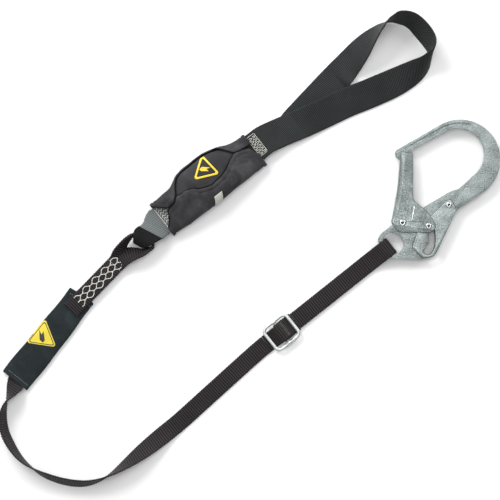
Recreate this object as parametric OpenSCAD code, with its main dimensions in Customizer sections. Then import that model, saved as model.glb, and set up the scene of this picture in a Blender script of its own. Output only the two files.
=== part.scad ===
// Shock absorbing lanyard, laid out flat on a surface.
// A choke loop, a covered tear-web energy absorber, an adjustable leg strap and a wide
// self-locking hook. Millimetres, +Z up, origin under the middle of the layout.

/* [Webbing] */
// Width of the choke loop and absorber webbing
choke_w = 42; // [38:1:44]
// Thickness of the choke loop webbing
choke_t = 2.4; // [1.8:0.1:2.6]
// Width of the adjustable leg strap
leg_w = 25.4; // [22:0.2:26]
// Thickness of the leg strap
leg_t = 2.3; // [1.8:0.1:2.3]

/* [Absorber] */
// Length of the cloth cover over the tear pack
cover_l = 164; // [156:1:166]
// Height of the bulging middle of the cover
cover_h = 29; // [28:1:32]
// Thickness of the cover cloth
cloth_t = 1.4; // [1:0.1:1.6]

/* [Label sleeve] */
// Length of the cloth sleeve on the leg strap
sleeve_l = 150; // [130:1:156]
// Width of the cloth sleeve
sleeve_w = 44; // [40:1:48]
// Thickness of the flattened sleeve
sleeve_h = 6.4; // [6.4:0.1:8]

/* [Hook] */
// Thickness of the forged hook body
hook_t = 9; // [8:0.1:9]
// Radius of the webbing eye
eye_r = 15.2; // [15.2:0.1:16]
// Thickness of the folded gate plates
gate_plate = 1.8; // [1.2:0.1:1.8]
// Thickness of the folded lever plates
lever_plate = 1.6; // [1.2:0.1:1.6]
// Radius of the gate and lever pivots
pivot_r = 2.5; // [2:0.1:2.6]
// Radius of the locking rivet
lock_r = 2.25; // [1.8:0.05:2.3]

/* [Adjuster] */
// Half length of the adjuster frame, to the rail's middle
frame_x = 19.4; // [19:0.1:21]
// Half width of the adjuster frame, to the rail's middle
frame_y = 18; // [18:0.1:20]
// Radius of the adjuster's rail
rail_r = 1.85; // [1.5:0.05:1.9]

/* [Hidden] */

$fn = 48;

// Places of the sub-assemblies on the surface
absorber_at = [-61, 25];
absorber_turn = 38.5;
sleeve_at = [-284, -190];
sleeve_turn = 51.4;
adjuster_at = [42, -182];
lead_turn = 38.5;
lead_l = 198.5;
hook_at = adjuster_at + lead_l * [cos(lead_turn), sin(lead_turn)];

// Heights
hook_z = 10;
rail_z = 7;
gap = 0.25;
web_z = 8.4;

// Choke loop: the edge that lies low (x, y, height), then the other edge (x, y).
// The second edge's height follows from the width of the webbing.
choke_rails = [
    [-7, 40, 12.2, -33.2, 73], [22, 63, 12.2, -4.2, 96], [33, 71, 11.8, 6.8, 104],
    [49, 79, 8.6, 22.8, 112], [72, 88, 5.6, 49, 123.3], [103, 102, 2.4, 85, 139],
    [141, 120, 1.4, 123, 157], [173, 133, 1.4, 158, 171],
    [202, 146, 1.4, 194, 186], [221, 157, 1.4, 219, 196], [236, 169, 1.4, 236, 202],
    [246, 182, 1.4, 246, 208], [250, 195, 1.4, 251, 210], [249, 206, 1.4, 254, 215],
    [242, 217, 1.4, 256, 222], [232, 229, 1.4, 255, 231], [226, 236, 1.4, 249, 242],
    [221, 242, 1.4, 240, 252], [214, 247, 1.4, 230, 260], [208, 249, 1.4, 219, 264],
    [201, 251, 1.4, 206, 264], [195, 252, 1.4, 198, 259], [188, 251, 1.4, 190, 252],
    [179, 249, 1.4, 179, 235], [167, 243, 1.4, 170, 217], [157, 237, 1.4, 164, 204],
    [145, 228, 1.4, 156, 190], [134, 218, 1.4, 149, 179], [121, 205, 1.4, 142, 169],
    [97, 181, 1.4, 127.5, 151.5], [49, 130, 1.4, 80, 101], [37, 117, 1.8, 67.5, 87.5],
    [6.8, 104, 4.4, 33, 71], [-4.2, 96, 4.6, 22, 63], [-33.2, 73, 4.6, -7, 40]];

// Leg strap: middle line (x, y) and lean of the webbing from flat, in degrees.
leg_route = [
    [-328.3, -251.9, 6], [-331.5, -257.5, 24], [-335.5, -265.5, 52], [-342, -278, 88], [-346, -291, 104],
    [-347, -305, 110], [-344, -322, 112], [-336, -339, 110], [-325, -355, 102],
    [-311, -368, 90], [-289, -381, 72], [-262, -390, 66], [-236, -393, 68], [-215, -389, 78],
    [-198, -381, 92], [-177, -367, 116], [-149, -346, 148], [-121, -324, 172], [-99, -306, 180],
    [-58, -269, 180], [-16, -231, 180], [8, -209.6, 180], [21.4, -198.4, 180]];

// Eye loop, in the absorber's axes: middle (x, y, z), lean, width and thickness.
// Inside the absorber's loop the webbing is folded in half along its length.
eye_route = [
    [-172, -7.6, 5.4, 0, 25.4, 2.3], [-164, -5.4, 5.8, 8, 25.4, 2.3], [-155, 1.5, 9, 34, 24, 2.4],
    [-145, 7, 11.4, 58, 20, 3], [-134, 9.5, 11.4, 68, 16, 4], [-126, 9.4, 11.4, 80, 13, 4.2],
    [-118, 5, 11.4, 88, 12.4, 4.2], [-113, -2.5, 11.4, 90, 12.4, 4.2], [-110.4, -9.5, 11.4, 90, 12.2, 4.2],
    [-111, -16, 11.4, 90, 12.2, 4.2], [-115.4, -21.4, 11.4, 84, 13.6, 4.2], [-122, -22.4, 11.2, 70, 16, 4],
    [-131, -20, 10.6, 58, 20, 3], [-141, -15, 9.4, 40, 24, 2.5], [-152, -8.6, 8.6, 22, 25.4, 2.3],
    [-163, -6.8, 8, 8, 25.4, 2.3], [-172, -7.6, 7.8, 0, 25.4, 2.3]];

// Both layers between the eye and the sleeve: middle (x, y, z), lean and width
upper_route = [[-252.6, -151, 7.8, 0, 25.4], [-222, -120, 7.8, 0, 25.4], [-191.6, -88.7, 7.8, 0, 25.4]];
lower_route = [[-330.2, -254.2, 2.6, 0, 25.4], [-320, -235, 2.6, 0, 25.4], [-284, -190, 2.6, 0, 25.4],
    [-258, -158, 2.6, 0, 25.4], [-241, -139.5, 2.6, 0, 25.4], [-233, -131, 2.9, 0, 25.4],
    [-223, -121, 5.2, 0, 25.4], [-210, -107.8, 5.4, 0, 25.4], [-191.6, -88.7, 5.4, 0, 25.4]];

// Hook points, measured from the middle of the webbing eye
gate_at = [13.3, 29.3];
lock_at = [49.8, 24.8];
lever_at = [78.1, 54.3];
bar_s = -9.5;
bar_r = 4.5;

function unit(v) = v / norm(v);
function arc(c, r, a0, a1, n) = [for (i = [0:n]) let(a = a0 + (a1 - a0) * i / n) c + r * [cos(a), sin(a)]];
function mix(a, b, k) = a + (b - a) * k;

// Point on a smooth curve through the list, k of the way from item i to the next
function curve_point(p, i, k) = let(
        n = len(p) - 1,
        a = p[max(i - 1, 0)], b = p[i], c = p[min(i + 1, n)], d = p[min(i + 2, n)])
    (2 * b + (c - a) * k + (2 * a - 5 * b + 4 * c - d) * k * k + (3 * b - a - 3 * c + d) * k * k * k) / 2;
function smooth(p, steps) = [for (i = [0:len(p) - 2], j = [0:steps - 1]) curve_point(p, i, j / steps),
    p[len(p) - 1]];

// Outline of a band of thickness t whose middle line is p
function band_normal(p, i) = let(d = unit(p[min(i + 1, len(p) - 1)] - p[max(i - 1, 0)])) [-d.y, d.x];
function band(p, t) = concat(
    [for (i = [0:len(p) - 1]) p[i] + band_normal(p, i) * t / 2],
    [for (i = [len(p) - 1:-1:0]) p[i] - band_normal(p, i) * t / 2]);

// Closed solid between two grids of points with the same rows and columns
module slab(top, bottom) {
    n = len(top);
    m = len(top[0]);
    k = n * m;
    points = [for (grid = [top, bottom], row = grid) each row];
    faces = concat(
        [for (i = [0:n - 2], j = [0:m - 2]) [i * m + j, i * m + j + 1, (i + 1) * m + j + 1]],
        [for (i = [0:n - 2], j = [0:m - 2]) [i * m + j, (i + 1) * m + j + 1, (i + 1) * m + j]],
        [for (i = [0:n - 2], j = [0:m - 2]) [k + i * m + j, k + (i + 1) * m + j + 1, k + i * m + j + 1]],
        [for (i = [0:n - 2], j = [0:m - 2]) [k + i * m + j, k + (i + 1) * m + j, k + (i + 1) * m + j + 1]],
        [for (i = [0:n - 2]) each let(a = i * m, b = a + m) [[a, b, k + b], [a, k + b, k + a]]],
        [for (i = [0:n - 2]) each let(a = i * m + m - 1, b = a + m) [[a, k + b, b], [a, k + a, k + b]]],
        [for (j = [0:m - 2]) each [[j, k + j + 1, j + 1], [j, k + j, k + j + 1]]],
        [for (j = [0:m - 2]) each let(a = (n - 1) * m + j) [[a, a + 1, k + a + 1], [a, k + a + 1, k + a]]]);
    polyhedron(points, faces, convexity = 6);
}

// Webbing whose two edges are given, one pair of points a row, of thickness t throughout
// or t[i] at row i
module webbing(rails, t) {
    n = len(rails) - 1;
    function along(i) = rails[min(i + 1, n)][0] + rails[min(i + 1, n)][1]
        - rails[max(i - 1, 0)][0] - rails[max(i - 1, 0)][1];
    function face(i) = unit(cross(along(i), rails[i][1] - rails[i][0])) * (is_list(t) ? t[i] : t) / 2;
    slab([for (i = [0:n]) [rails[i][0] + face(i), rails[i][1] + face(i)]],
        [for (i = [0:n]) [rails[i][0] - face(i), rails[i][1] - face(i)]]);
}

// Strap that bends in a vertical plane only, extruded to its width
module folded(p, t, w) {
    rotate([90, 0, 0]) linear_extrude(w, center = true) polygon(band(p, t));
}

// Zigzag thread, flat, n teeth along x
module zigzag(l, w, n, t, h) {
    linear_extrude(h) polygon(band([for (i = [0:n]) [l * i / n - l / 2, (i % 2 - 0.5) * w]], t));
}

module at_absorber() {
    translate(absorber_at) rotate([0, 0, absorber_turn]) children();
}

module at_sleeve() {
    translate(sleeve_at) rotate([0, 0, sleeve_turn]) children();
}

module at_adjuster() {
    translate(adjuster_at) rotate([0, 0, lead_turn]) children();
}

module at_hook() {
    translate([hook_at.x, hook_at.y, hook_z]) children();
}

// ---- choke loop ----

module choke_loop() {
    route = smooth(choke_rails, 2);
    rise = [for (r = route) sqrt(max(0, choke_w * choke_w - pow(r[3] - r[0], 2) - pow(r[4] - r[1], 2)))];
    rails = [for (i = [0:len(route) - 1]) let(r = route[i]) [[r[0], r[1], r[2]],
        [r[3], r[4], r[2] + rise[i]]]];
    color("#34383a") webbing(rails, choke_t);
}

module choke_stitching() {
    color("#d8d8c8") at_absorber() translate([88, 0, 13.5]) {
        for (y = [-12:4:12]) translate([0, y, 0]) zigzag(11, 2.6, 7, 0.7, 0.6);
        for (x = [-6, 6]) translate([x - 0.35, -15, 0]) cube([0.7, 30, 0.6]);
    }
}

// ---- energy absorber ----

// Side view of the grey webbing: two legs that part round a fold
fold_c = [-118, 11.4];
fold_r = 8.8;
web_side = concat([[112, web_z + 1.2], [-84, web_z + 1.2], [-98, 15.2]], arc(fold_c, fold_r, 80, 280, 14),
    [[-98, 5.2], [-84, web_z - 1.3], [112, web_z - 1.3]]);

module absorber_web() {
    plan = [[94, 18.5], [94, -20.5], [-84, -20.5], [-95, -20], [-103, -18.6], [-122, -15.5],
        [-130, -7], [-129, 1], [-120, 12.6], [-106, 13], [-96, 19], [-84, 22], [-70, 22]];
    color("#7d8484") at_absorber() intersection() {
        rotate([0, 0, 24]) translate([8, 0, 0]) folded(web_side, 2.4, 120);
        linear_extrude(60, center = true) polygon(plan);
    }
}

module wear_sleeve() {
    plan = [[-103, -18.9], [-122, -15.8], [-134, -7], [-134, 1], [-128, 1], [-120, 12.9], [-106.5, 13.3]];
    n = len(web_side) - 3;
    side = [for (i = [2:n]) web_side[i] - band_normal(web_side, i) * 1.95];
    color("#1d1f20") at_absorber() intersection() {
        rotate([0, 0, 24]) translate([8, 0, 0]) folded(side, 1.3, 120);
        linear_extrude(60, center = true) polygon(plan);
    }
}

module absorber_stitching() {
    color("#d8d8c8") at_absorber() translate([-74, 1, web_z + 2.8]) {
        for (y = [-10:4:10]) translate([3, y, 0]) zigzag(10, 2.6, 6, 0.7, 0.5);
        translate([-4, -15, 0]) cube([0.8, 30, 0.5]);
    }
}

// Woven tear web, folded over and over into a block
module tear_pack() {
    folds = [for (i = [0:3]) each let(z = 12.2 + 2.6 * i, x = i % 2 == 0 ? 34 : -34)
        [[-x, z], [x, z], [x * 1.06, z + 1.3]]];
    color("#c9c4a8") at_absorber() folded([for (i = [0:10]) folds[i]], 2.2, 36);
}

// Height of the cover's top at a place along it, k = 0 at the middle to 1 at an end
function cover_top(x) = mix(cover_h, 17, pow(min(1, abs(x) / 82), 1.6));
function side_low(x) = -29.2 + 1.5 * pow(abs(x) / 82, 2);
function side_high(x) = x < 0 ? mix(37, 26, pow(min(1, -x / 80), 0.9))
    : mix(37.5, 24.6, pow(min(1, x / 80), 1.1));

// One closed ring of the cover's outer shape across the pack, as (y, z), at a place x
function cover_at(x, a) = let(
        lo = side_low(x), hi = side_high(x), top = cover_top(x), mid = (lo + hi) / 2, half = (hi - lo) / 2,
        c = cos(a), s = sin(a))
    [x, mid + half * sign(c) * pow(abs(c), 0.72), top / 2 + 0.1 + top / 2 * sign(s) * pow(abs(s), 0.72)];
// The same, drawn in by a distance t
function cover_in(x, a, t) = let(
        p = cover_at(x, a),
        q = [x, (side_low(x) + side_high(x)) / 2, cover_top(x) / 2])
    p + unit(q - p) * t;

// Angle round the section of each cloth edge, by place along the pack. The two edges
// cross near the ends, part in the middle and stop short at a notch over the grey webbing.
flap_edge = [[-82, 115], [-73, 98], [-65, 84], [-52, 82], [-44, 71], [-37, 77], [-15, 91], [4, 99],
    [22, 96], [40, 89], [51, 79], [55, 75], [66, 76], [76, 82], [82, 99]];
back_edge = [[-82, 28], [-80, 37], [-75, 55], [-70, 68], [-65, 79], [-52, 77], [-44, 63], [-36, 34],
    [-29, 14], [-20, 8], [0, 6], [30, 8], [39, 14], [47, 44], [55, 69], [62, 71], [82, 74]];

// Cloth panel over part of the section, from angle fa(x) to angle fb(x)
module panel(xs, fa, fb, inset, t, m) {
    grid = function(d) [for (x = xs) [for (j = [0:m]) cover_in(x, mix(fa(x), fb(x), j / m), d)]];
    slab(grid(inset), grid(inset + t));
}

xs_cover = [for (i = [0:24]) -cover_l / 2 + cover_l * i / 24];

module cover_back() {
    color("#232426") at_absorber()
        panel(xs_cover, function(x) lookup(x, back_edge), function(x) -138, 0, cloth_t, 22);
}

module cover_flap() {
    color("#26282a") at_absorber()
        panel(xs_cover, function(x) 218, function(x) lookup(x, flap_edge), 0, cloth_t, 14);
}

module inner_pouch() {
    xs = [for (i = [0:16]) -60 + 116 * i / 16];
    grid = function(d) [for (x = xs) [for (j = [0:18]) cover_in(x, mix(128, 8, j / 18), d)]];
    color("#3a3a3c") at_absorber() slab(grid(cloth_t + 0.7), grid(cloth_t + 2.1));
}

// Two strips that hold the flap shut, one under the flap's edge and one beneath it
xs_tape = [for (i = [0:4]) 58 + 16 * i / 4];

module hook_tape() {
    color("#18191a") at_absorber()
        panel(xs_tape, function(x) 122, function(x) 86, cloth_t + 0.12, 0.5, 6);
}

module loop_tape() {
    color("#18191a") at_absorber()
        panel(xs_tape, function(x) 122, function(x) 60, cloth_t + 0.95, 0.6, 8);
}

// Rounded triangle, one side level, corners on a circle of radius r
module rounded_triangle(r, corner) {
    hull() for (a = [90, 210, 330]) translate((r - corner) * [cos(a), sin(a)]) circle(corner, $fn = 24);
}

module bolt(l) {
    polygon(l * [[0.08, 0.5], [-0.32, -0.1], [-0.05, -0.05], [-0.14, -0.5], [0.34, 0.13],
        [0.06, 0.08], [0.28, 0.5]]);
}

module on_pouch() {
    at_absorber() translate([9.8, 18, cover_h - 2.6]) rotate([-12, 0, 95]) children();
}

module pouch_sign() {
    color("#f2d432") on_pouch() linear_extrude(0.5) difference() {
        rounded_triangle(19, 3);
        rounded_triangle(14.6, 1.4);
    }
}

module pouch_bolt() {
    color("#f2d432") on_pouch() translate([0, -0.8]) linear_extrude(0.5) bolt(12.6);
}

module care_tag() {
    color("#cfd0c8") at_absorber() translate([-3, -29.4, 9]) rotate([72, 0, 0])
        linear_extrude(0.4, center = true) polygon([[-8, -6], [5, -6], [5, 9], [-8, 9]]);
}

// ---- leg strap end, with its eye and label sleeve ----

// Rails of webbing from a route of (x, y, z, lean, width) rows
function rails_of(r) = [for (i = [0:len(r) - 1]) let(
        n = len(r) - 1,
        d = r[min(i + 1, n)] - r[max(i - 1, 0)],
        side = unit([-d.y, d.x]),
        reach = [side.x * cos(r[i][3]), side.y * cos(r[i][3]), sin(r[i][3])] * r[i][4] / 2,
        p = [r[i].x, r[i].y, r[i].z])
    [p + reach, p - reach]];

module eye_loop() {
    route = smooth(eye_route, 2);
    color("#302a2c") at_absorber() webbing(rails_of(route), [for (r = route) r[5]]);
}

module strap_tail() {
    color("#302a2c") webbing(rails_of(smooth(upper_route, 3)), leg_t);
}

module sleeve_strap() {
    color("#302a2c") webbing(rails_of(smooth(lower_route, 2)), leg_t);
}

module eye_stitching() {
    color("#d8d8c8") translate([-219, -116.8, 8.97]) rotate([0, 0, 45.6])
        for (y = [-6.6, -2.2, 2.2, 6.6]) translate([0, y, 0])
            mirror([0, y == -2.2 || y == 6.6 ? 1 : 0, 0]) zigzag(76, 3.4, 14, 0.9, 0.6);
}

module label_sleeve() {
    end = sleeve_l / 2;
    side = sleeve_w / 2;
    color("#20262a") at_sleeve() intersection() {
        rotate([90, 0, 90]) linear_extrude(sleeve_l + 10, center = true) difference() {
            translate([0, sleeve_h / 2]) square([sleeve_w, sleeve_h], center = true);
            translate([0, sleeve_h / 2]) square([sleeve_w - 2.4, sleeve_h - 2.4], center = true);
        }
        linear_extrude(20) polygon([[-end - 1, side], [-end - 1, -side], [40, -side],
            [end + 2, 2.5 - side], [end + 4, 8 - side], [end - 1, side]]);
    }
}

module sleeve_stitching() {
    color("#4a5052") at_sleeve() translate([0, 0, sleeve_h]) for (y = [-18:4:18])
        translate([-70, y - 1.2, 0]) cube([0.6, 2.4, 0.3]);
}

module on_sleeve() {
    at_sleeve() translate([-3, 8, sleeve_h]) rotate([0, 0, 180]) children();
}

module sleeve_sign() {
    color("#e0cc3c") on_sleeve() linear_extrude(0.5) difference() {
        rounded_triangle(22, 3);
        translate([0, -2]) bolt(16.4);
    }
}

module sleeve_bolt() {
    color("#2c3030") on_sleeve() translate([0, -2]) linear_extrude(0.45) bolt(16);
}

module label_booklet() {
    color("#d4d6cc") at_sleeve() translate([-58, -15, 3.95]) cube([96, 32, 1.1]);
}

// ---- adjustable strap ----

module leg_strap() {
    route = smooth(leg_route, 2);
    function rise(a) = (leg_w * abs(sin(a)) + leg_t * abs(cos(a))) / 2;
    flat = [for (r = route) [r[0], r[1], rise(r[2]), r[2], leg_w]];
    color("#302a2c") webbing(rails_of(flat), leg_t);
}

module running_strap() {
    color("#302a2c") at_adjuster() folded([[24.3, 3.6], [149.8, 3.6]], leg_t, leg_w);
}

module return_strap() {
    color("#302a2c") at_adjuster() folded([[24.3, 1.15], [149.8, 1.15]], leg_t, leg_w);
}

// The fold of the strap round the bar of the hook's eye
module hook_strap() {
    bar = [lead_l + bar_s, hook_z];
    mid_r = bar_r + 0.3 + leg_t / 2;
    color("#302a2c") at_adjuster() folded(concat([[150, 1.15], [164, 1.3], [175, 2.4], [183, 3.6]],
        arc(bar, mid_r, -90, 90, 16), [[183, 15.4], [175, 11.4], [165, 6.6], [157, 4.2], [150, 3.6]]),
        leg_t, leg_w);
}

// The strap's fold over the adjuster's bar, and the sewn end round it
module bar_bight() {
    color("#302a2c") at_adjuster() folded([[-25.9, 1.2], [-19.4, 1.5], [-14, 3.2], [-10, 6.4],
        [-7, 9.8], [-3.6, 12.2], [0, 12.9], [4, 12], [7.6, 9.9], [11, 7.1], [14, 4.5], [17, 3.65],
        [24, 3.6]], leg_t, leg_w);
}

module bar_wrap() {
    mid_r = 2 + leg_t / 2;
    color("#302a2c") at_adjuster() folded(concat([[24, 1.15], [14, 1.4], [8, 2.5], [3, 3.6]],
        arc([0, rail_z], mid_r, -90, -270, 12), [[3, 9.2], [6, 6.8], [8.5, 5.3], [10.5, 4.6]]),
        leg_t, leg_w);
}

module bar_stitching() {
    color("#8c8c84") at_adjuster() for (y = [-9:3:9]) translate([-1.6, y - 1, 14.1]) cube([3.2, 1.6, 0.4]);
}

module adjuster_frame() {
    corner = 7;
    color("#b4bcba") at_adjuster() translate([0, 0, rail_z]) {
        for (s = [-1, 1]) {
            translate([0, s * frame_y, 0]) rotate([0, 90, 0])
                cylinder(h = 2 * (frame_x - corner), r = rail_r, center = true);
            translate([s * frame_x, 0, 0]) rotate([90, 0, 0])
                cylinder(h = 2 * (frame_y - corner), r = rail_r, center = true);
        }
        for (a = [0:3]) let(sx = a == 0 || a == 3 ? 1 : -1, sy = a < 2 ? 1 : -1)
            translate([sx * (frame_x - corner), sy * (frame_y - corner), 0]) rotate([0, 0, 90 * a])
                rotate_extrude(angle = 90) translate([corner, 0]) circle(rail_r);
    }
}

module adjuster_bar() {
    color("#9aa2a0") at_adjuster() translate([0, 0, rail_z]) difference() {
        union() {
            rotate([90, 0, 0]) cylinder(h = 2 * frame_y, r = 1.8, center = true);
            for (s = [-1, 1]) translate([0, s * frame_y, 0]) rotate([0, 90, 0])
                cylinder(h = 5, r = rail_r + 1.4, center = true);
        }
        for (s = [-1, 1]) translate([0, s * frame_y, 0]) rotate([0, 90, 0])
            cylinder(h = 12, r = rail_r + 0.05, center = true);
    }
}

// ---- hook ----

module hook_outline() {
    polygon(concat([[7, 132]], arc([94, 117.5], 56, 119, -50, 34), [[91.5, 49], [86, 50]],
        arc(lever_at, 9, -30, -112, 8), [[53, 31.5], [48, 29.6]], arc(gate_at, 33.3, -2, -50, 10),
        [[42.8, -22], [-3.9, -20.2], [-14, -9]], [[-20.4, 1.6]], arc([0, 0], 21.5, 165, 118, 6),
        [[-1.4, 26]], arc(gate_at, 11.5, 188, 62, 12), [[30, 43.6], [41.6, 50.1], [77, 71.3], [83, 74.2],
        [91.6, 76.5], [104, 87]], arc([91, 124.5], 36.4, -58, 118, 32), [[22.1, 128.7], [13.6, 124.2],
        [9.4, 122.2], [9.2, 116.8], [4.6, 120.4], [2.9, 125.6], [4.2, 130.4]]));
}

module hook_body() {
    color("#aab4b2") at_hook() difference() {
        union() {
            linear_extrude(hook_t, center = true) difference() {
                hook_outline();
                circle(eye_r);
                rotate(lead_turn) translate([-24, -13.6]) square([21, 27.2]);
            }
            rotate([0, 0, lead_turn]) translate([bar_s, 0, 0]) rotate([90, 0, 0])
                cylinder(h = 31, r = bar_r, center = true);
        }
        translate(gate_at) cylinder(h = 40, r = pivot_r, center = true);
        translate(lever_at) cylinder(h = 40, r = pivot_r, center = true);
        translate([gate_at.x, gate_at.y, hook_t / 2 - 3]) cylinder(h = 10, r = 6.6);
        translate([lever_at.x, lever_at.y, hook_t / 2 - 3]) cylinder(h = 10, r = 5.6);
    }
}

lever_in = hook_t / 2 + gap;
gate_in = lever_in + lever_plate + gap;
gate_out = gate_in + gate_plate;

module both_sides() {
    children();
    mirror([0, 0, 1]) children();
}

module rivet(r, head, z) {
    cylinder(h = 2 * z, r = r, center = true);
    both_sides() translate([0, 0, z]) cylinder(h = 1.5, r1 = head, r2 = head - 1.2);
}

module gate_rivet() {
    color("#d8dcdc") at_hook() translate(gate_at) rivet(pivot_r, 4.6, gate_out + 0.1);
}

// Washers that keep the gate's plates clear of the body
module gate_spacers() {
    color("#c4caca") at_hook() translate(gate_at) both_sides() translate([0, 0, hook_t / 2]) difference() {
        cylinder(h = gate_in - hook_t / 2 - 0.1, r = 7);
        translate([0, 0, -1]) cylinder(h = 9, r = pivot_r);
    }
}

module torsion_spring(r, wire) {
    for (i = [0:1]) translate([0, 0, hook_t / 2 - 3 + wire + 0.1 + i * (2 * wire + 0.1)])
        rotate_extrude() translate([r, 0]) circle(wire, $fn = 20);
}

module gate_spring() {
    color("#8a8f90") at_hook() translate(gate_at) torsion_spring(5.2, 0.6);
}

module lever_spring() {
    color("#8a8f90") at_hook() translate(lever_at) torsion_spring(4.4, 0.6);
}

module lever_rivet() {
    color("#d8dcdc") at_hook() translate(lever_at) rivet(pivot_r, 4.2, lever_in + lever_plate + 0.1);
}

module gate() {
    plate = concat([[12.6, 128.7], [27, 126.4], [28, 125], [28, 77], [28.4, 64], [31, 59], [42.4, 49.8],
        [51.8, 39.9]], arc(lock_at, 9.3, 18, -90, 9), [[12.5, 16], [7, 17.6], [3, 21.6], [-0.4, 27],
        [-1.8, 32], [6.2, 75.5], [10.3, 121.5]]);
    color("#b0b8b6") at_hook() difference() {
        union() {
            both_sides() translate([0, 0, gate_in]) linear_extrude(gate_plate) polygon(plate);
            linear_extrude(2 * gate_out, center = true)
                polygon([[-1.8, 32], [6.2, 75.5], [10.3, 121.5], [12.1, 121.3], [8, 75.3], [0, 31.8]]);
        }
        translate(gate_at) cylinder(h = 60, r = pivot_r + 0.05, center = true);
        translate(lock_at) cylinder(h = 60, r = lock_r, center = true);
    }
}

module lock_rivet() {
    color("#d8dcdc") at_hook() translate(lock_at) rivet(lock_r, 4.3, gate_out);
}

module lock_lever() {
    plate = concat(arc(lever_at, 7.2, 140, 15, 8), [[89.5, 48.4], [60.5, -13], [57, -17.2], [51, -19],
        [41.6, -20.3], [26.3, -5], [26.6, -2.6], [33, 15.3], [37, 26], [44, 35], [53.5, 39.9]]);
    slot = [[47, 25.5], [47.6, 20], [48.4, 16], [49.2, 9], [49.6, 4], [48, -1], [44, -7], [41.4, -10.2],
        [42.6, -12.2], [46, -14.3], [49.8, -15.2], [53.5, -12.6], [56.6, -8], [58.3, -2.5], [59, 5],
        [58.9, 12], [57.5, 19.5], [55, 25], [52.5, 27.8], [49.5, 28.3], [47.6, 27.4]];
    color("#a6b0ae") at_hook() difference() {
        union() {
            both_sides() translate([0, 0, lever_in]) linear_extrude(lever_plate) difference() {
                polygon(plate);
                polygon(slot);
            }
            linear_extrude(2 * (lever_in + lever_plate), center = true)
                polygon([[88.4, 46], [60.5, -13], [58.9, -12.2], [86.8, 46.8]]);
        }
        translate(lever_at) cylinder(h = 60, r = pivot_r + 0.05, center = true);
    }
}

choke_loop();
choke_stitching();
absorber_web();
absorber_stitching();
tear_pack();
wear_sleeve();
inner_pouch();
cover_back();
cover_flap();
hook_tape();
loop_tape();
pouch_sign();
pouch_bolt();
care_tag();
eye_loop();
eye_stitching();
strap_tail();
sleeve_strap();
label_sleeve();
sleeve_stitching();
sleeve_sign();
sleeve_bolt();
label_booklet();
leg_strap();
running_strap();
return_strap();
hook_strap();
bar_bight();
bar_wrap();
bar_stitching();
adjuster_frame();
adjuster_bar();
hook_body();
gate_rivet();
gate_spacers();
gate_spring();
lever_rivet();
lever_spring();
gate();
lock_rivet();
lock_lever();
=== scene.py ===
import math

import bmesh
import bpy
import numpy as np
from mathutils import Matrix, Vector, noise
from mathutils.bvhtree import BVHTree


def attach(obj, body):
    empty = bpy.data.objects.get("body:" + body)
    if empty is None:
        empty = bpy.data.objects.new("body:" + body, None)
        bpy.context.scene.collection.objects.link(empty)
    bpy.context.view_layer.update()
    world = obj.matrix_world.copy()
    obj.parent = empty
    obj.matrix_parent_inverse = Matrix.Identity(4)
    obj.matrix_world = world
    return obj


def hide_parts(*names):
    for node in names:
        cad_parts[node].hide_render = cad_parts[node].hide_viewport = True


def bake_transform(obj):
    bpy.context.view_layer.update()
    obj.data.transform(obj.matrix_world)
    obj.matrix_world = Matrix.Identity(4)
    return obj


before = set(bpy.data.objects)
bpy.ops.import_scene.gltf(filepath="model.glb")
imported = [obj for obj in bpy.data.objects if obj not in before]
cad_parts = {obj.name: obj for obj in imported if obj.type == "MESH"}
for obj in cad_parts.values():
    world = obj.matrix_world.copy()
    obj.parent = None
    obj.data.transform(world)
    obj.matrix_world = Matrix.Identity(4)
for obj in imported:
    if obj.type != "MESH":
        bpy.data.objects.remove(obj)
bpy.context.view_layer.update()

MM = 0.001

# ---- Camera ----
# Looks straight down on the layout through a long lens, which covers 0.7 m of the surface.
CAMERA_HEIGHT = 4.0
COVERED = 0.7
camera_data = bpy.data.cameras.new("camera")
camera_data.sensor_width = 36
camera_data.lens = 36 * CAMERA_HEIGHT / COVERED
camera_data.clip_end = 50
camera = bpy.data.objects.new("camera", camera_data)
camera.location = (-0.002, -0.067, CAMERA_HEIGHT)
bpy.context.collection.objects.link(camera)
bpy.context.scene.camera = camera

# ---- Leg strap ----
# One length of 25 mm polyester webbing, black, with coarse cross ribs. It leaves the label sleeve,
# rolls on to its edge round the bend of the layout and comes flat again before the adjuster.
STRAP_WIDTH = 25.4
STRAP_THICK = 2.3
RIB = 3.4
STRAP_COLUMNS = 9
leg_route = [
    (-328.3, -251.9, 6), (-331.5, -257.5, 24), (-335.5, -265.5, 52), (-342, -278, 88),
    (-346, -291, 104), (-347, -305, 110), (-344, -322, 112), (-336, -339, 110), (-325, -355, 102),
    (-311, -368, 90), (-289, -381, 72), (-262, -390, 66), (-236, -393, 68), (-215, -389, 78),
    (-198, -381, 92), (-177, -367, 116), (-149, -346, 148), (-121, -324, 172), (-99, -306, 180),
    (-58, -269, 180), (-16, -231, 180), (8, -209.6, 180), (21.4, -198.4, 180)]


def smooth(points, steps):
    """Rows of numbers on a smooth curve through the given rows."""
    rows = []
    last = len(points) - 1
    for i in range(last):
        a, b, c, d = (np.array(points[j], float) for j in
                      (max(i - 1, 0), i, i + 1, min(i + 2, last)))
        for j in range(steps):
            k = j / steps
            rows.append((2 * b + (c - a) * k + (2 * a - 5 * b + 4 * c - d) * k * k
                         + (3 * b - a - 3 * c + d) * k ** 3) / 2)
    rows.append(np.array(points[-1], float))
    return np.array(rows)


def spaced(rows, middle, step):
    """The rows again, evenly spaced along the middle line, about step apart."""
    run = np.concatenate([[0], np.cumsum(np.linalg.norm(np.diff(middle, axis=0), axis=1))])
    places = np.linspace(0, run[-1], max(2, round(run[-1] / step) + 1))
    return np.array([np.interp(places, run, column) for column in rows.T]).T


def linked(name, data):
    """An object in the scene that shows a mesh or a lamp."""
    item = bpy.data.objects.new(name, data)
    bpy.context.collection.objects.link(item)
    return item


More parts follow.
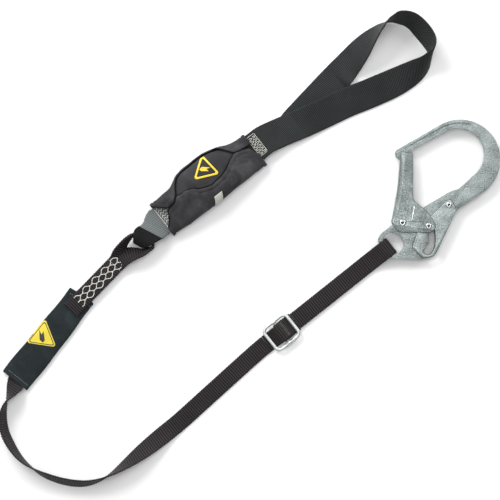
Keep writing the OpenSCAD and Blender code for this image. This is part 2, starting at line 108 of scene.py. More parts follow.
def mesh_of(name, points, faces, uv=None, along=None):
    """A mesh object with its faces pointing outwards, shaded smooth, with its cloth coordinates."""
    mesh = bpy.data.meshes.new(name)
    mesh.from_pydata([tuple(p) for p in points], [], faces)
    if uv is not None:
        layer = mesh.uv_layers.new(name="UVMap")
        corners = np.zeros(len(mesh.loops), np.int32)
        mesh.loops.foreach_get("vertex_index", corners)
        layer.data.foreach_set("uv", np.asarray(uv, np.float32)[corners].ravel())
    if along is not None:
        mesh.attributes.new("along", "FLOAT", "POINT").data.foreach_set(
            "value", np.asarray(along, np.float32))
    shape = bmesh.new()
    shape.from_mesh(mesh)
    bmesh.ops.recalc_face_normals(shape, faces=shape.faces)
    shape.to_mesh(mesh)
    shape.free()
    mesh.polygons.foreach_set("use_smooth", [True] * len(mesh.polygons))
    return linked(name, mesh)


def tube_faces(rows, ring):
    """Faces of a closed tube made of rings of points, with its two ends."""
    faces = [(i * ring + j, i * ring + (j + 1) % ring, (i + 1) * ring + (j + 1) % ring,
              (i + 1) * ring + j) for i in range(rows - 1) for j in range(ring)]
    return faces + [tuple(range(ring)), tuple(range((rows - 1) * ring, rows * ring))[::-1]]


def webbing(name, left, right, thick, columns=12, crown=0.0):
    """Closed strip of webbing between two edge lines, in millimetres, with rounded selvedges."""
    left, right = np.asarray(left, float), np.asarray(right, float)
    rows = len(left)
    middle = (left + right) / 2
    across = right - left
    width = np.linalg.norm(across, axis=1)
    across /= width[:, None]
    face = np.cross(across, np.gradient(middle, axis=0))
    face /= np.linalg.norm(face, axis=1)[:, None]
    thick = np.broadcast_to(np.asarray(thick, float), rows)
    flat = np.linspace(-1, 1, columns)
    turn = np.radians([60, 25, -25, -60])
    reach = np.concatenate([flat, np.ones(4), flat[::-1], -np.ones(4)])
    swell = np.concatenate([np.zeros(columns), np.cos(turn), np.zeros(columns), -np.cos(turn)])
    rise = np.concatenate([np.ones(columns), np.sin(turn), -np.ones(columns), -np.sin(turn)])
    lip = 0.45 * thick[:, None]
    out = reach * (width[:, None] / 2 - lip) + swell * lip
    up = rise * thick[:, None] / 2 + crown * (1 - np.clip(np.abs(reach), 0, 1) ** 2)
    points = middle[:, None] + across[:, None] * out[..., None] + face[:, None] * up[..., None]
    run = np.concatenate([[0], np.cumsum(np.linalg.norm(np.diff(middle, axis=0), axis=1))])
    ring = len(reach)
    along = np.repeat(run, ring)
    uv = np.stack([out.ravel(), along], axis=1) * MM
    return mesh_of(name, points.reshape(-1, 3) * MM, tube_faces(rows, ring), uv, along * MM)


def leaning(route):
    """Edge lines of webbing that follows (x, y, z, lean, width) rows."""
    run = np.gradient(route[:, :2], axis=0)
    run /= np.linalg.norm(run, axis=1)[:, None]
    lean = np.radians(route[:, 3])
    reach = np.stack([-run[:, 1] * np.cos(lean), run[:, 0] * np.cos(lean), np.sin(lean)], axis=1)
    reach *= route[:, 4:5] / 2
    return route[:, :3] + reach, route[:, :3] - reach


def add(tree, kind, values=None, **settings):
    """Puts a node in a tree, with its settings and its inputs' values or links."""
    node = tree.nodes.new(kind)
    for key, value in settings.items():
        setattr(node, key, value)
    for key, value in (values or {}).items():
        if isinstance(value, bpy.types.NodeSocket):
            tree.links.new(value, node.inputs[key])
        else:
            node.inputs[key].default_value = value
    return node


def maths(tree, operation, *values):
    return add(tree, "ShaderNodeMath", dict(enumerate(values)), operation=operation).outputs[0]


def colour_mix(tree, factor, a, b):
    return add(tree, "ShaderNodeMix", {0: factor, 6: a, 7: b}, data_type="RGBA").outputs[2]


def new_tree(name, inputs):
    """An empty node tree that makes a mesh, with named inputs, and its two end nodes."""
    tree = bpy.data.node_groups.new(name, "GeometryNodeTree")
    tree.interface.new_socket("Mesh", in_out="INPUT", socket_type="NodeSocketGeometry")
    for label, kind in inputs:
        tree.interface.new_socket(label, in_out="INPUT", socket_type=kind)
    tree.interface.new_socket("Mesh", in_out="OUTPUT", socket_type="NodeSocketGeometry")
    return tree, add(tree, "NodeGroupInput"), add(tree, "NodeGroupOutput")


def keep_result(piece):
    """Replaces a piece's mesh with what its modifiers make of it."""
    bpy.context.view_layer.update()
    made = piece.evaluated_get(bpy.context.evaluated_depsgraph_get())
    mesh = bpy.data.meshes.new_from_object(made)
    piece.modifiers.clear()
    piece.data = mesh
    return piece


def run_tree(tree, piece, values):
    """Runs a tree on a piece and keeps the result as its plain mesh."""
    modifier = piece.modifiers.new(tree.name, "NODES")
    modifier.node_group = tree
    for item in tree.interface.items_tree:
        if item.item_type == "SOCKET" and item.in_out == "INPUT" and item.name in values:
            modifier[item.identifier] = values[item.name]
    return keep_result(piece)


# Ribs: the cloth swells and dips along its length, a rib at every spacing
rib_tree, rib_in, rib_out = new_tree("Cross ribs", [
    ("Rib spacing", "NodeSocketFloat"), ("Rib height", "NodeSocketFloat"),
    ("Webbing", "NodeSocketMaterial")])
rib_along = add(rib_tree, "GeometryNodeInputNamedAttribute", {"Name": "along"},
                data_type="FLOAT").outputs["Attribute"]
rib_phase = maths(rib_tree, "DIVIDE", rib_along, rib_in.outputs["Rib spacing"])
rib_wave = maths(rib_tree, "ABSOLUTE", maths(rib_tree, "SINE", maths(
    rib_tree, "MULTIPLY", rib_phase, math.pi)))
rib_rise = maths(rib_tree, "MULTIPLY", maths(rib_tree, "SUBTRACT", rib_wave, 0.64),
                 rib_in.outputs["Rib height"])
rib_move = add(rib_tree, "ShaderNodeVectorMath", {
    0: add(rib_tree, "GeometryNodeInputNormal").outputs[0], "Scale": rib_rise}, operation="SCALE")
rib_set = add(rib_tree, "GeometryNodeSetPosition", {
    "Geometry": rib_in.outputs["Mesh"], "Offset": rib_move.outputs[0]})
rib_real = add(rib_tree, "GeometryNodeRealizeInstances", {"Geometry": rib_set.outputs[0]})
rib_cloth = add(rib_tree, "GeometryNodeSetMaterial", {
    "Geometry": rib_real.outputs[0], "Material": rib_in.outputs["Webbing"]})
rib_tree.links.new(rib_cloth.outputs[0], rib_out.inputs[0])


def new_material(name):
    """A material, its node tree and its shader."""
    material = bpy.data.materials.new(name)
    material.use_nodes = True
    return material, material.node_tree, material.node_tree.nodes["Principled BSDF"]


def webbing_material(name, valley_shade, crest, spacing, yarn, slant=0.0, depth=0.0003, sheen=0.02):
    """Woven cross ribs with painted shade: dark between the ribs and lighter on their tops, fine
    yarns along them, and a little uneven wear.
    """
    material, tree, shader = new_material(name)
    flat = add(tree, "ShaderNodeUVMap", uv_map="UVMap").outputs[0]
    place = add(tree, "ShaderNodeSeparateXYZ", {0: flat})
    across, along = place.outputs[0], place.outputs[1]
    tilted = maths(tree, "MULTIPLY_ADD", across, slant, along)
    count = maths(tree, "DIVIDE", tilted, spacing)
    rib = maths(tree, "ABSOLUTE", maths(tree, "SINE", maths(tree, "MULTIPLY", count, math.pi)))
    parity = maths(tree, "MULTIPLY", maths(tree, "FLOOR", count), math.pi)
    thread = maths(tree, "SINE", maths(tree, "MULTIPLY_ADD", across, 2 * math.pi / yarn, parity))
    cord = maths(tree, "MULTIPLY_ADD", thread, 0.5, 0.5)
    fuzz = add(tree, "ShaderNodeTexNoise", {
        "Vector": add(tree, "ShaderNodeTexCoord").outputs["Object"], "Scale": 900.0, "Detail": 3.0})
    worn = add(tree, "ShaderNodeTexNoise", {
        "Vector": add(tree, "ShaderNodeTexCoord").outputs["Object"], "Scale": 28.0, "Detail": 4.0})
    rib_shade_and_yarn = maths(tree, "MULTIPLY", maths(tree, "POWER", rib, 1.4),
                  maths(tree, "MULTIPLY_ADD", cord, 0.5, 0.5))
    lift = maths(tree, "MULTIPLY", rib_shade_and_yarn, maths(tree, "MULTIPLY_ADD", fuzz.outputs[0], 0.9, 0.55))
    shift = maths(tree, "MULTIPLY", lift, maths(tree, "MULTIPLY_ADD", worn.outputs[0], 0.7, 0.65))
    shader.inputs["Roughness"].default_value = 0.62
    shader.inputs["Sheen Weight"].default_value = sheen
    shader.inputs["Sheen Roughness"].default_value = 0.5
    shader.inputs["Specular IOR Level"].default_value = 0.16
    # The colour runs from the painted shade between the ribs to the lighter rib tops.
    tree.links.new(colour_mix(tree, shift, (*valley_shade, 1), (*crest, 1)), shader.inputs["Base Color"])
    height = maths(tree, "MULTIPLY_ADD", fuzz.outputs[0], 0.25, rib_shade_and_yarn)
    bump = add(tree, "ShaderNodeBump", {"Height": height, "Distance": depth, "Strength": 0.8})
    tree.links.new(bump.outputs[0], shader.inputs["Normal"])
    return material


leg_cloth = webbing_material("leg webbing", (0.0008, 0.0006, 0.0007), (0.047, 0.039, 0.041),
                             RIB * MM, 0.0013)


def ribbed(piece):
    """Gives a piece of leg webbing its ribs and its cloth."""
    piece.data.materials.append(leg_cloth)
    run_tree(rib_tree, piece, {"Rib spacing": RIB * MM, "Rib height": 0.0007, "Webbing": leg_cloth})
    return piece


leg_rows = smooth(leg_route, 24)
leg_lean = np.radians(leg_rows[:, 2])
leg_rise = (STRAP_WIDTH * np.abs(np.sin(leg_lean)) + STRAP_THICK * np.abs(np.cos(leg_lean))) / 2
leg_rows = np.column_stack([leg_rows[:, :2], leg_rise, leg_rows[:, 2],
                            np.full(len(leg_rows), STRAP_WIDTH)])
leg_rows = spaced(leg_rows, leg_rows[:, :3], RIB / 4)
leg_left, leg_right = leaning(leg_rows)
leg_strap = ribbed(webbing("leg_strap_webbing", leg_left, leg_right, STRAP_THICK, STRAP_COLUMNS))
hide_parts("leg_strap")
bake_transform(leg_strap)

# ---- Strap between the adjuster and the hook ----
# The same webbing runs out to the hook's eye, turns round its bar and comes back underneath, so
# two layers lie face to face. Both slide through the adjuster.
LEAD_ANGLE = math.radians(38.5)
LEAD_LENGTH = 198.5
BAR_BACK = -9.5
BAR_RADIUS = 4.5
HOOK_HEIGHT = 10


def placed(origin, angle, points):
    """Local (x, y, z) rows turned by an angle and set at an origin on the surface."""
    points = np.asarray(points, float)
    c, s = math.cos(angle), math.sin(angle)
    return np.stack([origin[0] + points[..., 0] * c - points[..., 1] * s,
                     origin[1] + points[..., 0] * s + points[..., 1] * c, points[..., 2]], axis=-1)


ADJUSTER = (42, -182)


def on_lead(points):
    """Rows counted from the adjuster along the lead to the hook."""
    return placed(ADJUSTER, LEAD_ANGLE, points)


def folded(name, path, width=STRAP_WIDTH, steps=8):
    """Lead webbing that bends only up and down: its (x, z) path lies along the lead."""
    rows = smooth(path, steps)
    rows = spaced(rows, rows, RIB / 4)
    left, right = (on_lead([(x, side * width / 2, z) for x, z in rows]) for side in (1, -1))
    return webbing(name, left, right, STRAP_THICK, STRAP_COLUMNS)


def arc(centre, radius, start, stop, count):
    """Points round part of a circle, angles in degrees."""
    return [(centre[0] + radius * math.cos(math.radians(start + (stop - start) * i / count)),
             centre[1] + radius * math.sin(math.radians(start + (stop - start) * i / count)))
            for i in range(count + 1)]


# The two layers start at the adjuster's fold and end at the hook's fold
LAYER_START, LAYER_END = 24.3, 149.8
UPPER, LOWER = 3.6, 1.15
for name, node, height in (("running_strap_webbing", "running_strap", UPPER),
                           ("return_strap_webbing", "return_strap", LOWER)):
    layer = ribbed(folded(name, [(LAYER_START, height), (LAYER_END, height)]))
    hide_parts(node)
    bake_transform(layer)

turn_radius = BAR_RADIUS + 0.3 + STRAP_THICK / 2
hook_bight = ribbed(folded("hook_strap_webbing", [
    (LAYER_END, LOWER), (164, 1.3), (175, 2.4), (183, 3.6),
    *arc((LEAD_LENGTH + BAR_BACK, HOOK_HEIGHT), turn_radius, -90, 90, 16),
    (183, 15.4), (175, 11.4), (165, 6.6), (157, 4.2), (LAYER_END, UPPER)], steps=4))
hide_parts("hook_strap")
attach(hook_bight, "lanyard")

# ---- Adjuster ----
# A bent steel ring with a loose cross bar. The strap is folded over the bar and its end is sewn
# round it, so the webbing jams when it is loaded.
RAIL_HEIGHT = 7


def metal(name, base, rough, pits=0.00012, mottle=0.5, grain=350.0, metallic=0.8):
    """Zinc plating on forged or folded steel: blotchy colour and gloss, with fine pitting."""
    material, tree, shader = new_material(name)
    place = add(tree, "ShaderNodeTexCoord").outputs["Object"]
    blotch = add(tree, "ShaderNodeTexNoise", {
        "Vector": place, "Scale": grain, "Detail": 5.0, "Roughness": 0.65})
    cloud = add(tree, "ShaderNodeTexNoise", {"Vector": place, "Scale": 60.0, "Detail": 3.0})
    patch = maths(tree, "MULTIPLY_ADD", blotch.outputs[0], 5.0, -2.0)
    both = maths(tree, "MULTIPLY_ADD", cloud.outputs[0], 1.0,
                 maths(tree, "MULTIPLY_ADD", patch, 0.7, -0.35))
    dark = tuple(c * (1 - mottle) for c in base)
    light = tuple(min(1.0, c * (1 + 0.55 * mottle)) for c in base)
    clear = add(tree, "ShaderNodeClamp", {0: both}).outputs[0]
    tree.links.new(colour_mix(tree, clear, (*dark, 1), (*light, 1)), shader.inputs["Base Color"])
    gloss = maths(tree, "MULTIPLY_ADD", clear, -0.18, rough + 0.09)
    tree.links.new(gloss, shader.inputs["Roughness"])
    shader.inputs["Metallic"].default_value = metallic
    bump = add(tree, "ShaderNodeBump", {"Height": patch, "Distance": pits, "Strength": 0.7})
    tree.links.new(bump.outputs[0], shader.inputs["Normal"])
    return material


def finish_node(name, material):
    """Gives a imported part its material."""
    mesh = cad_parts[name].data
    mesh.materials.clear()
    mesh.materials.append(material)
    mesh.polygons.foreach_set("material_index", [0] * len(mesh.polygons))


plated = metal("zinc plated wire", (0.62, 0.66, 0.65), 0.5, pits=0.00004, mottle=0.15)
finish_node("adjuster_bar", plated)

# The ring: an oval section carried round a rectangle with rounded corners
CORNER_X, CORNER_Y, CORNER_RADIUS = 12.6, 11.4, 7.2
WIRE_ACROSS, WIRE_UP, WIRE_STEPS = 2.35, 1.85, 18
frame_middle = []
for quarter, (side_x, side_y) in enumerate(((1, 1), (-1, 1), (-1, -1), (1, -1))):
    for a in np.radians(np.linspace(90 * quarter, 90 * quarter + 90, 13)):
        frame_middle.append((side_x * CORNER_X + CORNER_RADIUS * math.cos(a),
                             side_y * CORNER_Y + CORNER_RADIUS * math.sin(a),
                             math.cos(a), math.sin(a)))
wire_section = [(WIRE_ACROSS * math.cos(a), WIRE_UP * math.sin(a))
                for a in np.arange(WIRE_STEPS) * math.pi / (WIRE_STEPS / 2)]
frame_points = [(x + out * nx, y + out * ny, RAIL_HEIGHT + up) for x, y, nx, ny in frame_middle
                for out, up in wire_section]
frame_faces = []
for i in range(len(frame_middle)):
    here, ahead = i * WIRE_STEPS, (i + 1) % len(frame_middle) * WIRE_STEPS
    for j in range(WIRE_STEPS):
        k = (j + 1) % WIRE_STEPS
        frame_faces.append((here + j, ahead + j, ahead + k, here + k))
adjuster_frame = mesh_of("adjuster_frame_plated", on_lead(frame_points) * MM, frame_faces)
adjuster_frame.data.materials.append(plated)
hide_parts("adjuster_frame")
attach(adjuster_frame, "adjuster_frame")

bar_bight = ribbed(folded("bar_bight_webbing", [
    (-26.4, 1.2), (-19.4, 1.5), (-14, 3.2), (-10, 6.4), (-7, 9.8), (-3.6, 12.2), (0, 12.9), (4, 12),
    (7.6, 9.9), (11, 7.1), (14, 4.5), (17, 3.65), (24.4, 3.6)]))
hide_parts("bar_bight")
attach(bar_bight, "adjuster_bar")

bar_wrap = ribbed(folded("bar_wrap_webbing", [(24.4, 1.15), (14, 1.4), (8, 2.5), (3, 3.6)]
                         + arc((0, RAIL_HEIGHT), 2 + STRAP_THICK / 2, -90, -270, 12)
                         + [(3, 9.2), (6, 6.8), (8.5, 5.3), (10.5, 4.6)], 28.4, steps=4))
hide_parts("bar_wrap")
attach(bar_wrap, "adjuster_bar")

# Thread: one grain of thread along every edge of a guide, sunk a little into the cloth
thread_tree, thread_in, thread_out = new_tree("Thread stitches", [
    ("Thread radius", "NodeSocketFloat"), ("Stitch share", "NodeSocketFloat"),
    ("Thread", "NodeSocketMaterial")])
ends = add(thread_tree, "GeometryNodeInputMeshEdgeVertices")
stitch_run = add(thread_tree, "ShaderNodeVectorMath", {
    0: ends.outputs["Position 2"], 1: ends.outputs["Position 1"]}, operation="SUBTRACT").outputs[0]
kept_run = add(thread_tree, "GeometryNodeCaptureAttribute", {
    "Geometry": thread_in.outputs["Mesh"]}, domain="EDGE")
kept_run.capture_items.new("VECTOR", "run")
thread_tree.links.new(stitch_run, kept_run.inputs["run"])
middles = add(thread_tree, "GeometryNodeMeshToPoints", {
    "Mesh": kept_run.outputs["Geometry"]}, mode="EDGES")
grain = add(thread_tree, "GeometryNodeMeshIcoSphere", {"Radius": 1.0, "Subdivisions": 2})
aimed = add(thread_tree, "FunctionNodeAlignRotationToVector", {
    "Vector": kept_run.outputs["run"]}, axis="X")
stitch_long = add(thread_tree, "ShaderNodeVectorMath", {
    0: kept_run.outputs["run"]}, operation="LENGTH").outputs["Value"]
stitch_half = maths(thread_tree, "MULTIPLY", stitch_long, maths(
    thread_tree, "MULTIPLY", thread_in.outputs["Stitch share"], 0.5))
stitch_size = add(thread_tree, "ShaderNodeCombineXYZ", {
    0: stitch_half, 1: thread_in.outputs["Thread radius"], 2: thread_in.outputs["Thread radius"]})
grains = add(thread_tree, "GeometryNodeInstanceOnPoints", {
    "Points": middles.outputs[0], "Instance": grain.outputs["Mesh"],
    "Rotation": aimed.outputs[0], "Scale": stitch_size.outputs[0]})
thread_real = add(thread_tree, "GeometryNodeRealizeInstances", {"Geometry": grains.outputs[0]})
thread_dyed = add(thread_tree, "GeometryNodeSetMaterial", {
    "Geometry": thread_real.outputs[0], "Material": thread_in.outputs["Thread"]})
thread_tree.links.new(thread_dyed.outputs[0], thread_out.inputs[0])


def thread_material(name, base, dark):
    """Twisted polyester sewing thread, slightly glossy, dirtier in places."""
    material, tree, shader = new_material(name)
    place = add(tree, "ShaderNodeTexCoord").outputs["Object"]
    ply = add(tree, "ShaderNodeTexWave", {"Vector": place, "Scale": 900.0, "Distortion": 1.5},
              bands_direction="DIAGONAL")
    soil = add(tree, "ShaderNodeTexNoise", {"Vector": place, "Scale": 160.0, "Detail": 3.0})
    tree.links.new(colour_mix(tree, maths(tree, "MULTIPLY", soil.outputs[0], maths(
        tree, "MULTIPLY_ADD", ply.outputs["Fac"], -0.5, 1.1)), (*base, 1), (*dark, 1)),
        shader.inputs["Base Color"])
    shader.inputs["Roughness"].default_value = 0.6
    bump = add(tree, "ShaderNodeBump", {"Height": ply.outputs["Fac"], "Distance": 0.0001})
    tree.links.new(bump.outputs[0], shader.inputs["Normal"])
    return material


white_thread = thread_material("off-white thread", (0.95, 0.95, 0.88), (0.42, 0.41, 0.36))
black_thread = thread_material("black thread", (0.03, 0.03, 0.032), (0.008, 0.008, 0.008))


def sewn(name, lines, radius, body, nodes=(), thread=white_thread, share=0.96):
    """Stitches along lines of points in metres: each step of a line is one stitch."""
    points, edges = [], []
    for line in lines:
        edges += [(len(points) + i, len(points) + i + 1) for i in range(len(line) - 1)]
        points += [tuple(p) for p in line]
    mesh = bpy.data.meshes.new(name)
    mesh.from_pydata(points, edges, [])
    piece = linked(name, mesh)
    run_tree(thread_tree, piece, {"Thread radius": radius * MM, "Stitch share": share,
                                  "Thread": thread})
    piece.data.polygons.foreach_set("use_smooth", [True] * len(piece.data.polygons))
    if nodes:
        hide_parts(*nodes)
    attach(piece, body)
    return piece


def zigzag(x0, x1, y, height, teeth):
    """Points of a zigzag from x0 to x1 about y, one stitch to a leg."""
    return [(x0 + (x1 - x0) * i / teeth, y + height * (i % 2 - 0.5)) for i in range(teeth + 1)]


grey_thread = thread_material("grey thread", (0.3, 0.3, 0.29), (0.12, 0.12, 0.115))
bar_lines = [[(x, y, z) for y in np.arange(-9.6, 12.1, 2.4)]
             for x, z in ((5.2, 12.65), (7.4, 11.25), (9.4, 9.6))]
sewn("bar_wrap_stitches", [on_lead(line) * MM for line in bar_lines], 0.26,
     "adjuster_bar", ["bar_stitching"], thread=grey_thread)

# ---- Label sleeve's strap and the sewn eye ----
# The leg strap passes through the sleeve, forms the eye that hangs in the absorber's loop, and
# comes back over itself. Four wavy rows of white thread sew both layers in a honeycomb.
ABSORBER = (-61, 25)
ABSORBER_ANGLE = math.radians(38.5)


def on_absorber(points):
    """Rows counted from the middle of the absorber, along it and across it."""
    return placed(ABSORBER, ABSORBER_ANGLE, points)


eye_route = [
    (-172, -7.6, 5.4, 0, 25.4, 2.3), (-164, -5.4, 5.8, 8, 25.4, 2.3), (-155, 1.5, 9, 34, 24, 2.4),
    (-145, 7, 11.4, 58, 20, 3), (-134, 9.5, 11.4, 68, 16, 4), (-126, 9.4, 11.4, 80, 13, 4.2),
    (-118, 5, 11.4, 88, 12.4, 4.2), (-113, -2.5, 11.4, 90, 12.4, 4.2),
    (-110.4, -9.5, 11.4, 90, 12.2, 4.2), (-111, -16, 11.4, 90, 12.2, 4.2),
    (-115.4, -21.4, 11.4, 84, 13.6, 4.2), (-122, -20.0, 11.2, 70, 16, 4),
    (-131, -17.8, 10.6, 58, 20, 3), (-141, -12.2, 9.4, 40, 24, 2.5),
    (-152, -7.6, 8.6, 22, 25.4, 2.3), (-163, -6.8, 8, 8, 25.4, 2.3), (-172, -7.6, 7.8, 0, 25.4, 2.3)]
eye_rows = smooth(eye_route, 16)
eye_rows = spaced(eye_rows, eye_rows[:, :3], RIB / 4)
eye_edges = [on_absorber(edge) for edge in leaning(eye_rows)]
eye_loop = ribbed(webbing("eye_webbing", *eye_edges, eye_rows[:, 5], STRAP_COLUMNS))
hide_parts("eye_loop")
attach(eye_loop, "lanyard")

upper_route = [(-252.6, -151, 7.8, 0, 25.4), (-222, -120, 7.8, 0, 25.4),
               (-191.6, -88.7, 7.8, 0, 25.4)]
upper_rows = smooth(upper_route, 24)
upper_rows = spaced(upper_rows, upper_rows[:, :3], RIB / 4)
upper_tail = ribbed(webbing("tail_webbing", *leaning(upper_rows), STRAP_THICK, STRAP_COLUMNS))
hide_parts("strap_tail")
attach(upper_tail, "lanyard")

lower_route = [(-330.2, -254.2, 2.6, 0, 25.4), (-320, -235, 2.6, 0, 25.4),
               (-284, -190, 2.6, 0, 25.4), (-258, -158, 2.6, 0, 25.4),
               (-241, -139.5, 2.6, 0, 25.4), (-233, -131, 2.9, 0, 25.4),
               (-223, -121, 5.2, 0, 25.4), (-210, -107.8, 5.4, 0, 25.4),
               (-191.6, -88.7, 5.4, 0, 25.4)]
lower_rows = smooth(lower_route, 16)
lower_rows = spaced(lower_rows, lower_rows[:, :3], RIB / 4)
lower_strap = ribbed(webbing("sleeve_strap_webbing", *leaning(lower_rows), STRAP_THICK,
                             STRAP_COLUMNS))
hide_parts("sleeve_strap")
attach(lower_strap, "lanyard")

TAIL_END = (-252.6, -151)
TAIL_ANGLE = math.radians(45.6)
CELL = 9.2
SEWN_LENGTH = 100
TAIL_TOP = 9.25
tail_lines = []
for row, y in enumerate((-6.5, -2.2, 2.2, 6.5)):
    line = []
    for i in range(10):
        side = 2.0 if (i + row) % 2 else -2.0
        line += [(15 + CELL * i, y + side), (17.2 + CELL * i, y + side * 1.1),
                 (19.4 + CELL * i, y + side), (21.9 + CELL * i, y)]
    tail_lines.append(placed(TAIL_END, TAIL_ANGLE, [(x, v, TAIL_TOP) for x, v in line[:-1]
                                                    if x < SEWN_LENGTH]) * MM)
sewn("eye_stitches", tail_lines, 0.62, "lanyard", ["eye_stitching"], share=1.15)

# ---- Choke loop ----
# 42 mm polyester webbing with a fine slanting weave. It stands on its edge round the far bend and
# lies over itself in the middle. Its two ends are sewn above and below the absorber's end.
CHOKE_WIDTH = 42
CHOKE_THICK = 2.4
choke_rails = [
    (-7, 40, 12.2, -33.2, 73), (22, 63, 12.2, -4.2, 96), (33, 71, 11.8, 6.8, 104),
    (49, 79, 8.6, 22.8, 112), (72, 88, 5.6, 49, 123.3), (103, 102, 2.4, 85, 139),
    (141, 120, 1.4, 123, 157), (173, 133, 1.4, 158, 171), (202, 146, 1.4, 194, 186),
    (221, 157, 1.4, 219, 196), (236, 169, 1.4, 236, 202), (246, 182, 1.4, 246, 208),
    (250, 195, 1.4, 251, 210), (249, 206, 1.4, 254, 215), (242, 217, 1.4, 256, 222),
    (232, 229, 1.4, 255, 231), (226, 236, 1.4, 249, 242), (221, 242, 1.4, 240, 252),
    (214, 247, 1.4, 230, 260), (208, 249, 1.4, 219, 264), (201, 251, 1.4, 206, 264),
    (195, 252, 1.4, 198, 259), (188, 251, 1.4, 190, 252), (179, 249, 1.4, 179, 235),
    (167, 243, 1.4, 170, 217), (157, 237, 1.4, 164, 204), (145, 228, 1.4, 156, 190),
    (134, 218, 1.4, 149, 179), (121, 205, 1.4, 142, 169), (97, 181, 1.4, 127.5, 151.5),
    (49, 130, 1.4, 80, 101), (37, 117, 1.8, 67.5, 87.5), (6.8, 104, 4.4, 33, 71),
    (-4.2, 96, 4.6, 22, 63), (-33.2, 73, 4.6, -7, 40)]
choke_rows = smooth(choke_rails, 12)
choke_lift = np.sqrt(np.clip(CHOKE_WIDTH ** 2 - (choke_rows[:, 3] - choke_rows[:, 0]) ** 2
                             - (choke_rows[:, 4] - choke_rows[:, 1]) ** 2, 0, None))
choke_rows = np.column_stack([choke_rows, choke_rows[:, 2] + choke_lift])
choke_middle = (choke_rows[:, :3] + choke_rows[:, 3:]) / 2
choke_rows = spaced(choke_rows, choke_middle, 1.5)
choke_cloth = webbing_material("choke webbing", (0.0012, 0.0015, 0.0015), (0.046, 0.051, 0.052),
                               0.0024, 0.0014, slant=0.12, depth=0.0003, sheen=0.02)
choke_loop = webbing("choke_loop_webbing", choke_rows[:, :3], choke_rows[:, 3:], CHOKE_THICK, 17)
choke_loop.data.materials.append(choke_cloth)
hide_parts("choke_loop")
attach(choke_loop, "lanyard")

# A box of stitches with two stepped rows inside it
CHOKE_TOP = 13.8
choke_block = []
for x in (85.2, 90.6):
    wave = [(x - 1.9, -14.0)]
    for i in range(6):
        y = -14.0 + 4.9 * i
        wave += [(x + 1.9, y), (x + 1.9, y + 2.2), (x - 1.9, y + 2.2), (x - 1.9, y + 4.9)]
    choke_block.append(wave[:-1])
choke_block += [[(x, y) for y in np.arange(-15.2, 15.4, 2.55)] for x in (81.6, 94.2)]
choke_block += [[(x, y) for x in np.arange(82.2, 94.2, 2.3)] for y in (-15.8, 15.8)]
choke_lines = [on_absorber([(x, y, CHOKE_TOP) for x, y in line]) * MM for line in choke_block]
sewn("choke_stitches", choke_lines, 0.42, "lanyard", ["choke_stitching"], share=1.05)

# ---- Absorber webbing ----
# Grey webbing carries the tear pack. At the near end it parts into a loop for the eye, and a
# black wear sleeve is slipped over the bight.
WEB_HEIGHT = 8.4
WEB_SKEW = math.radians(24)
WEB_SHIFT = 8
WEB_END = 70
web_side = [(112, WEB_HEIGHT + 1.2), (20, WEB_HEIGHT + 1.2), (-84, WEB_HEIGHT + 1.2), (-98, 15.2)]
web_side += arc((-118, 11.4), 8.8, 80, 280, 14)
web_side += [(-98, 5.2), (-84, WEB_HEIGHT - 1.3), (20, WEB_HEIGHT - 1.3), (112, WEB_HEIGHT - 1.3)]
web_upper = [(-134, -2), (-130, 3), (-120, 12.8), (-106, 13.4), (-96, 19.2), (-84, 23), (-70, 21),
             (94, 18.5)]
web_lower = [(-134, -5), (-130, -8), (-122, -15.6), (-103, -18.6), (-95, -20), (-84, -20.5),
             (94, -20.5)]
web_upper = [tuple(p) for p in smooth(web_upper, 6)]
web_lower = [tuple(p) for p in smooth(web_lower, 6)]


def web_row(x, z, edge):
    """The point where a skewed row of the absorber's webbing meets one of its edge lines."""
    c, s = math.cos(WEB_SKEW), math.sin(WEB_SKEW)
    y = 15.0 if edge is web_upper else -15.0
    for _ in range(12):
        wanted = np.interp(WEB_SHIFT * c + x * c - y * s, [p[0] for p in edge],
                           [p[1] for p in edge])
        y += (wanted - (WEB_SHIFT * s + x * s + y * c)) * 0.6
    return WEB_SHIFT * c + x * c - y * s, WEB_SHIFT * s + x * s + y * c, z


grey_cloth = webbing_material("grey webbing", (0.035, 0.04, 0.041), (0.25, 0.275, 0.28), 0.0022,
                              0.0012, depth=0.0003, sheen=0.05)
web_points = smooth(web_side, 4)
web_points = [row for row in spaced(web_points, web_points, 1.5) if row[0] < WEB_END]
absorber_web = webbing("absorber_webbing", *(
    on_absorber([web_row(x, z, edge) for x, z in web_points]) for edge in (web_upper, web_lower)),
    2.4, 13)
absorber_web.data.materials.append(grey_cloth)
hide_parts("absorber_web")
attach(absorber_web, "lanyard")


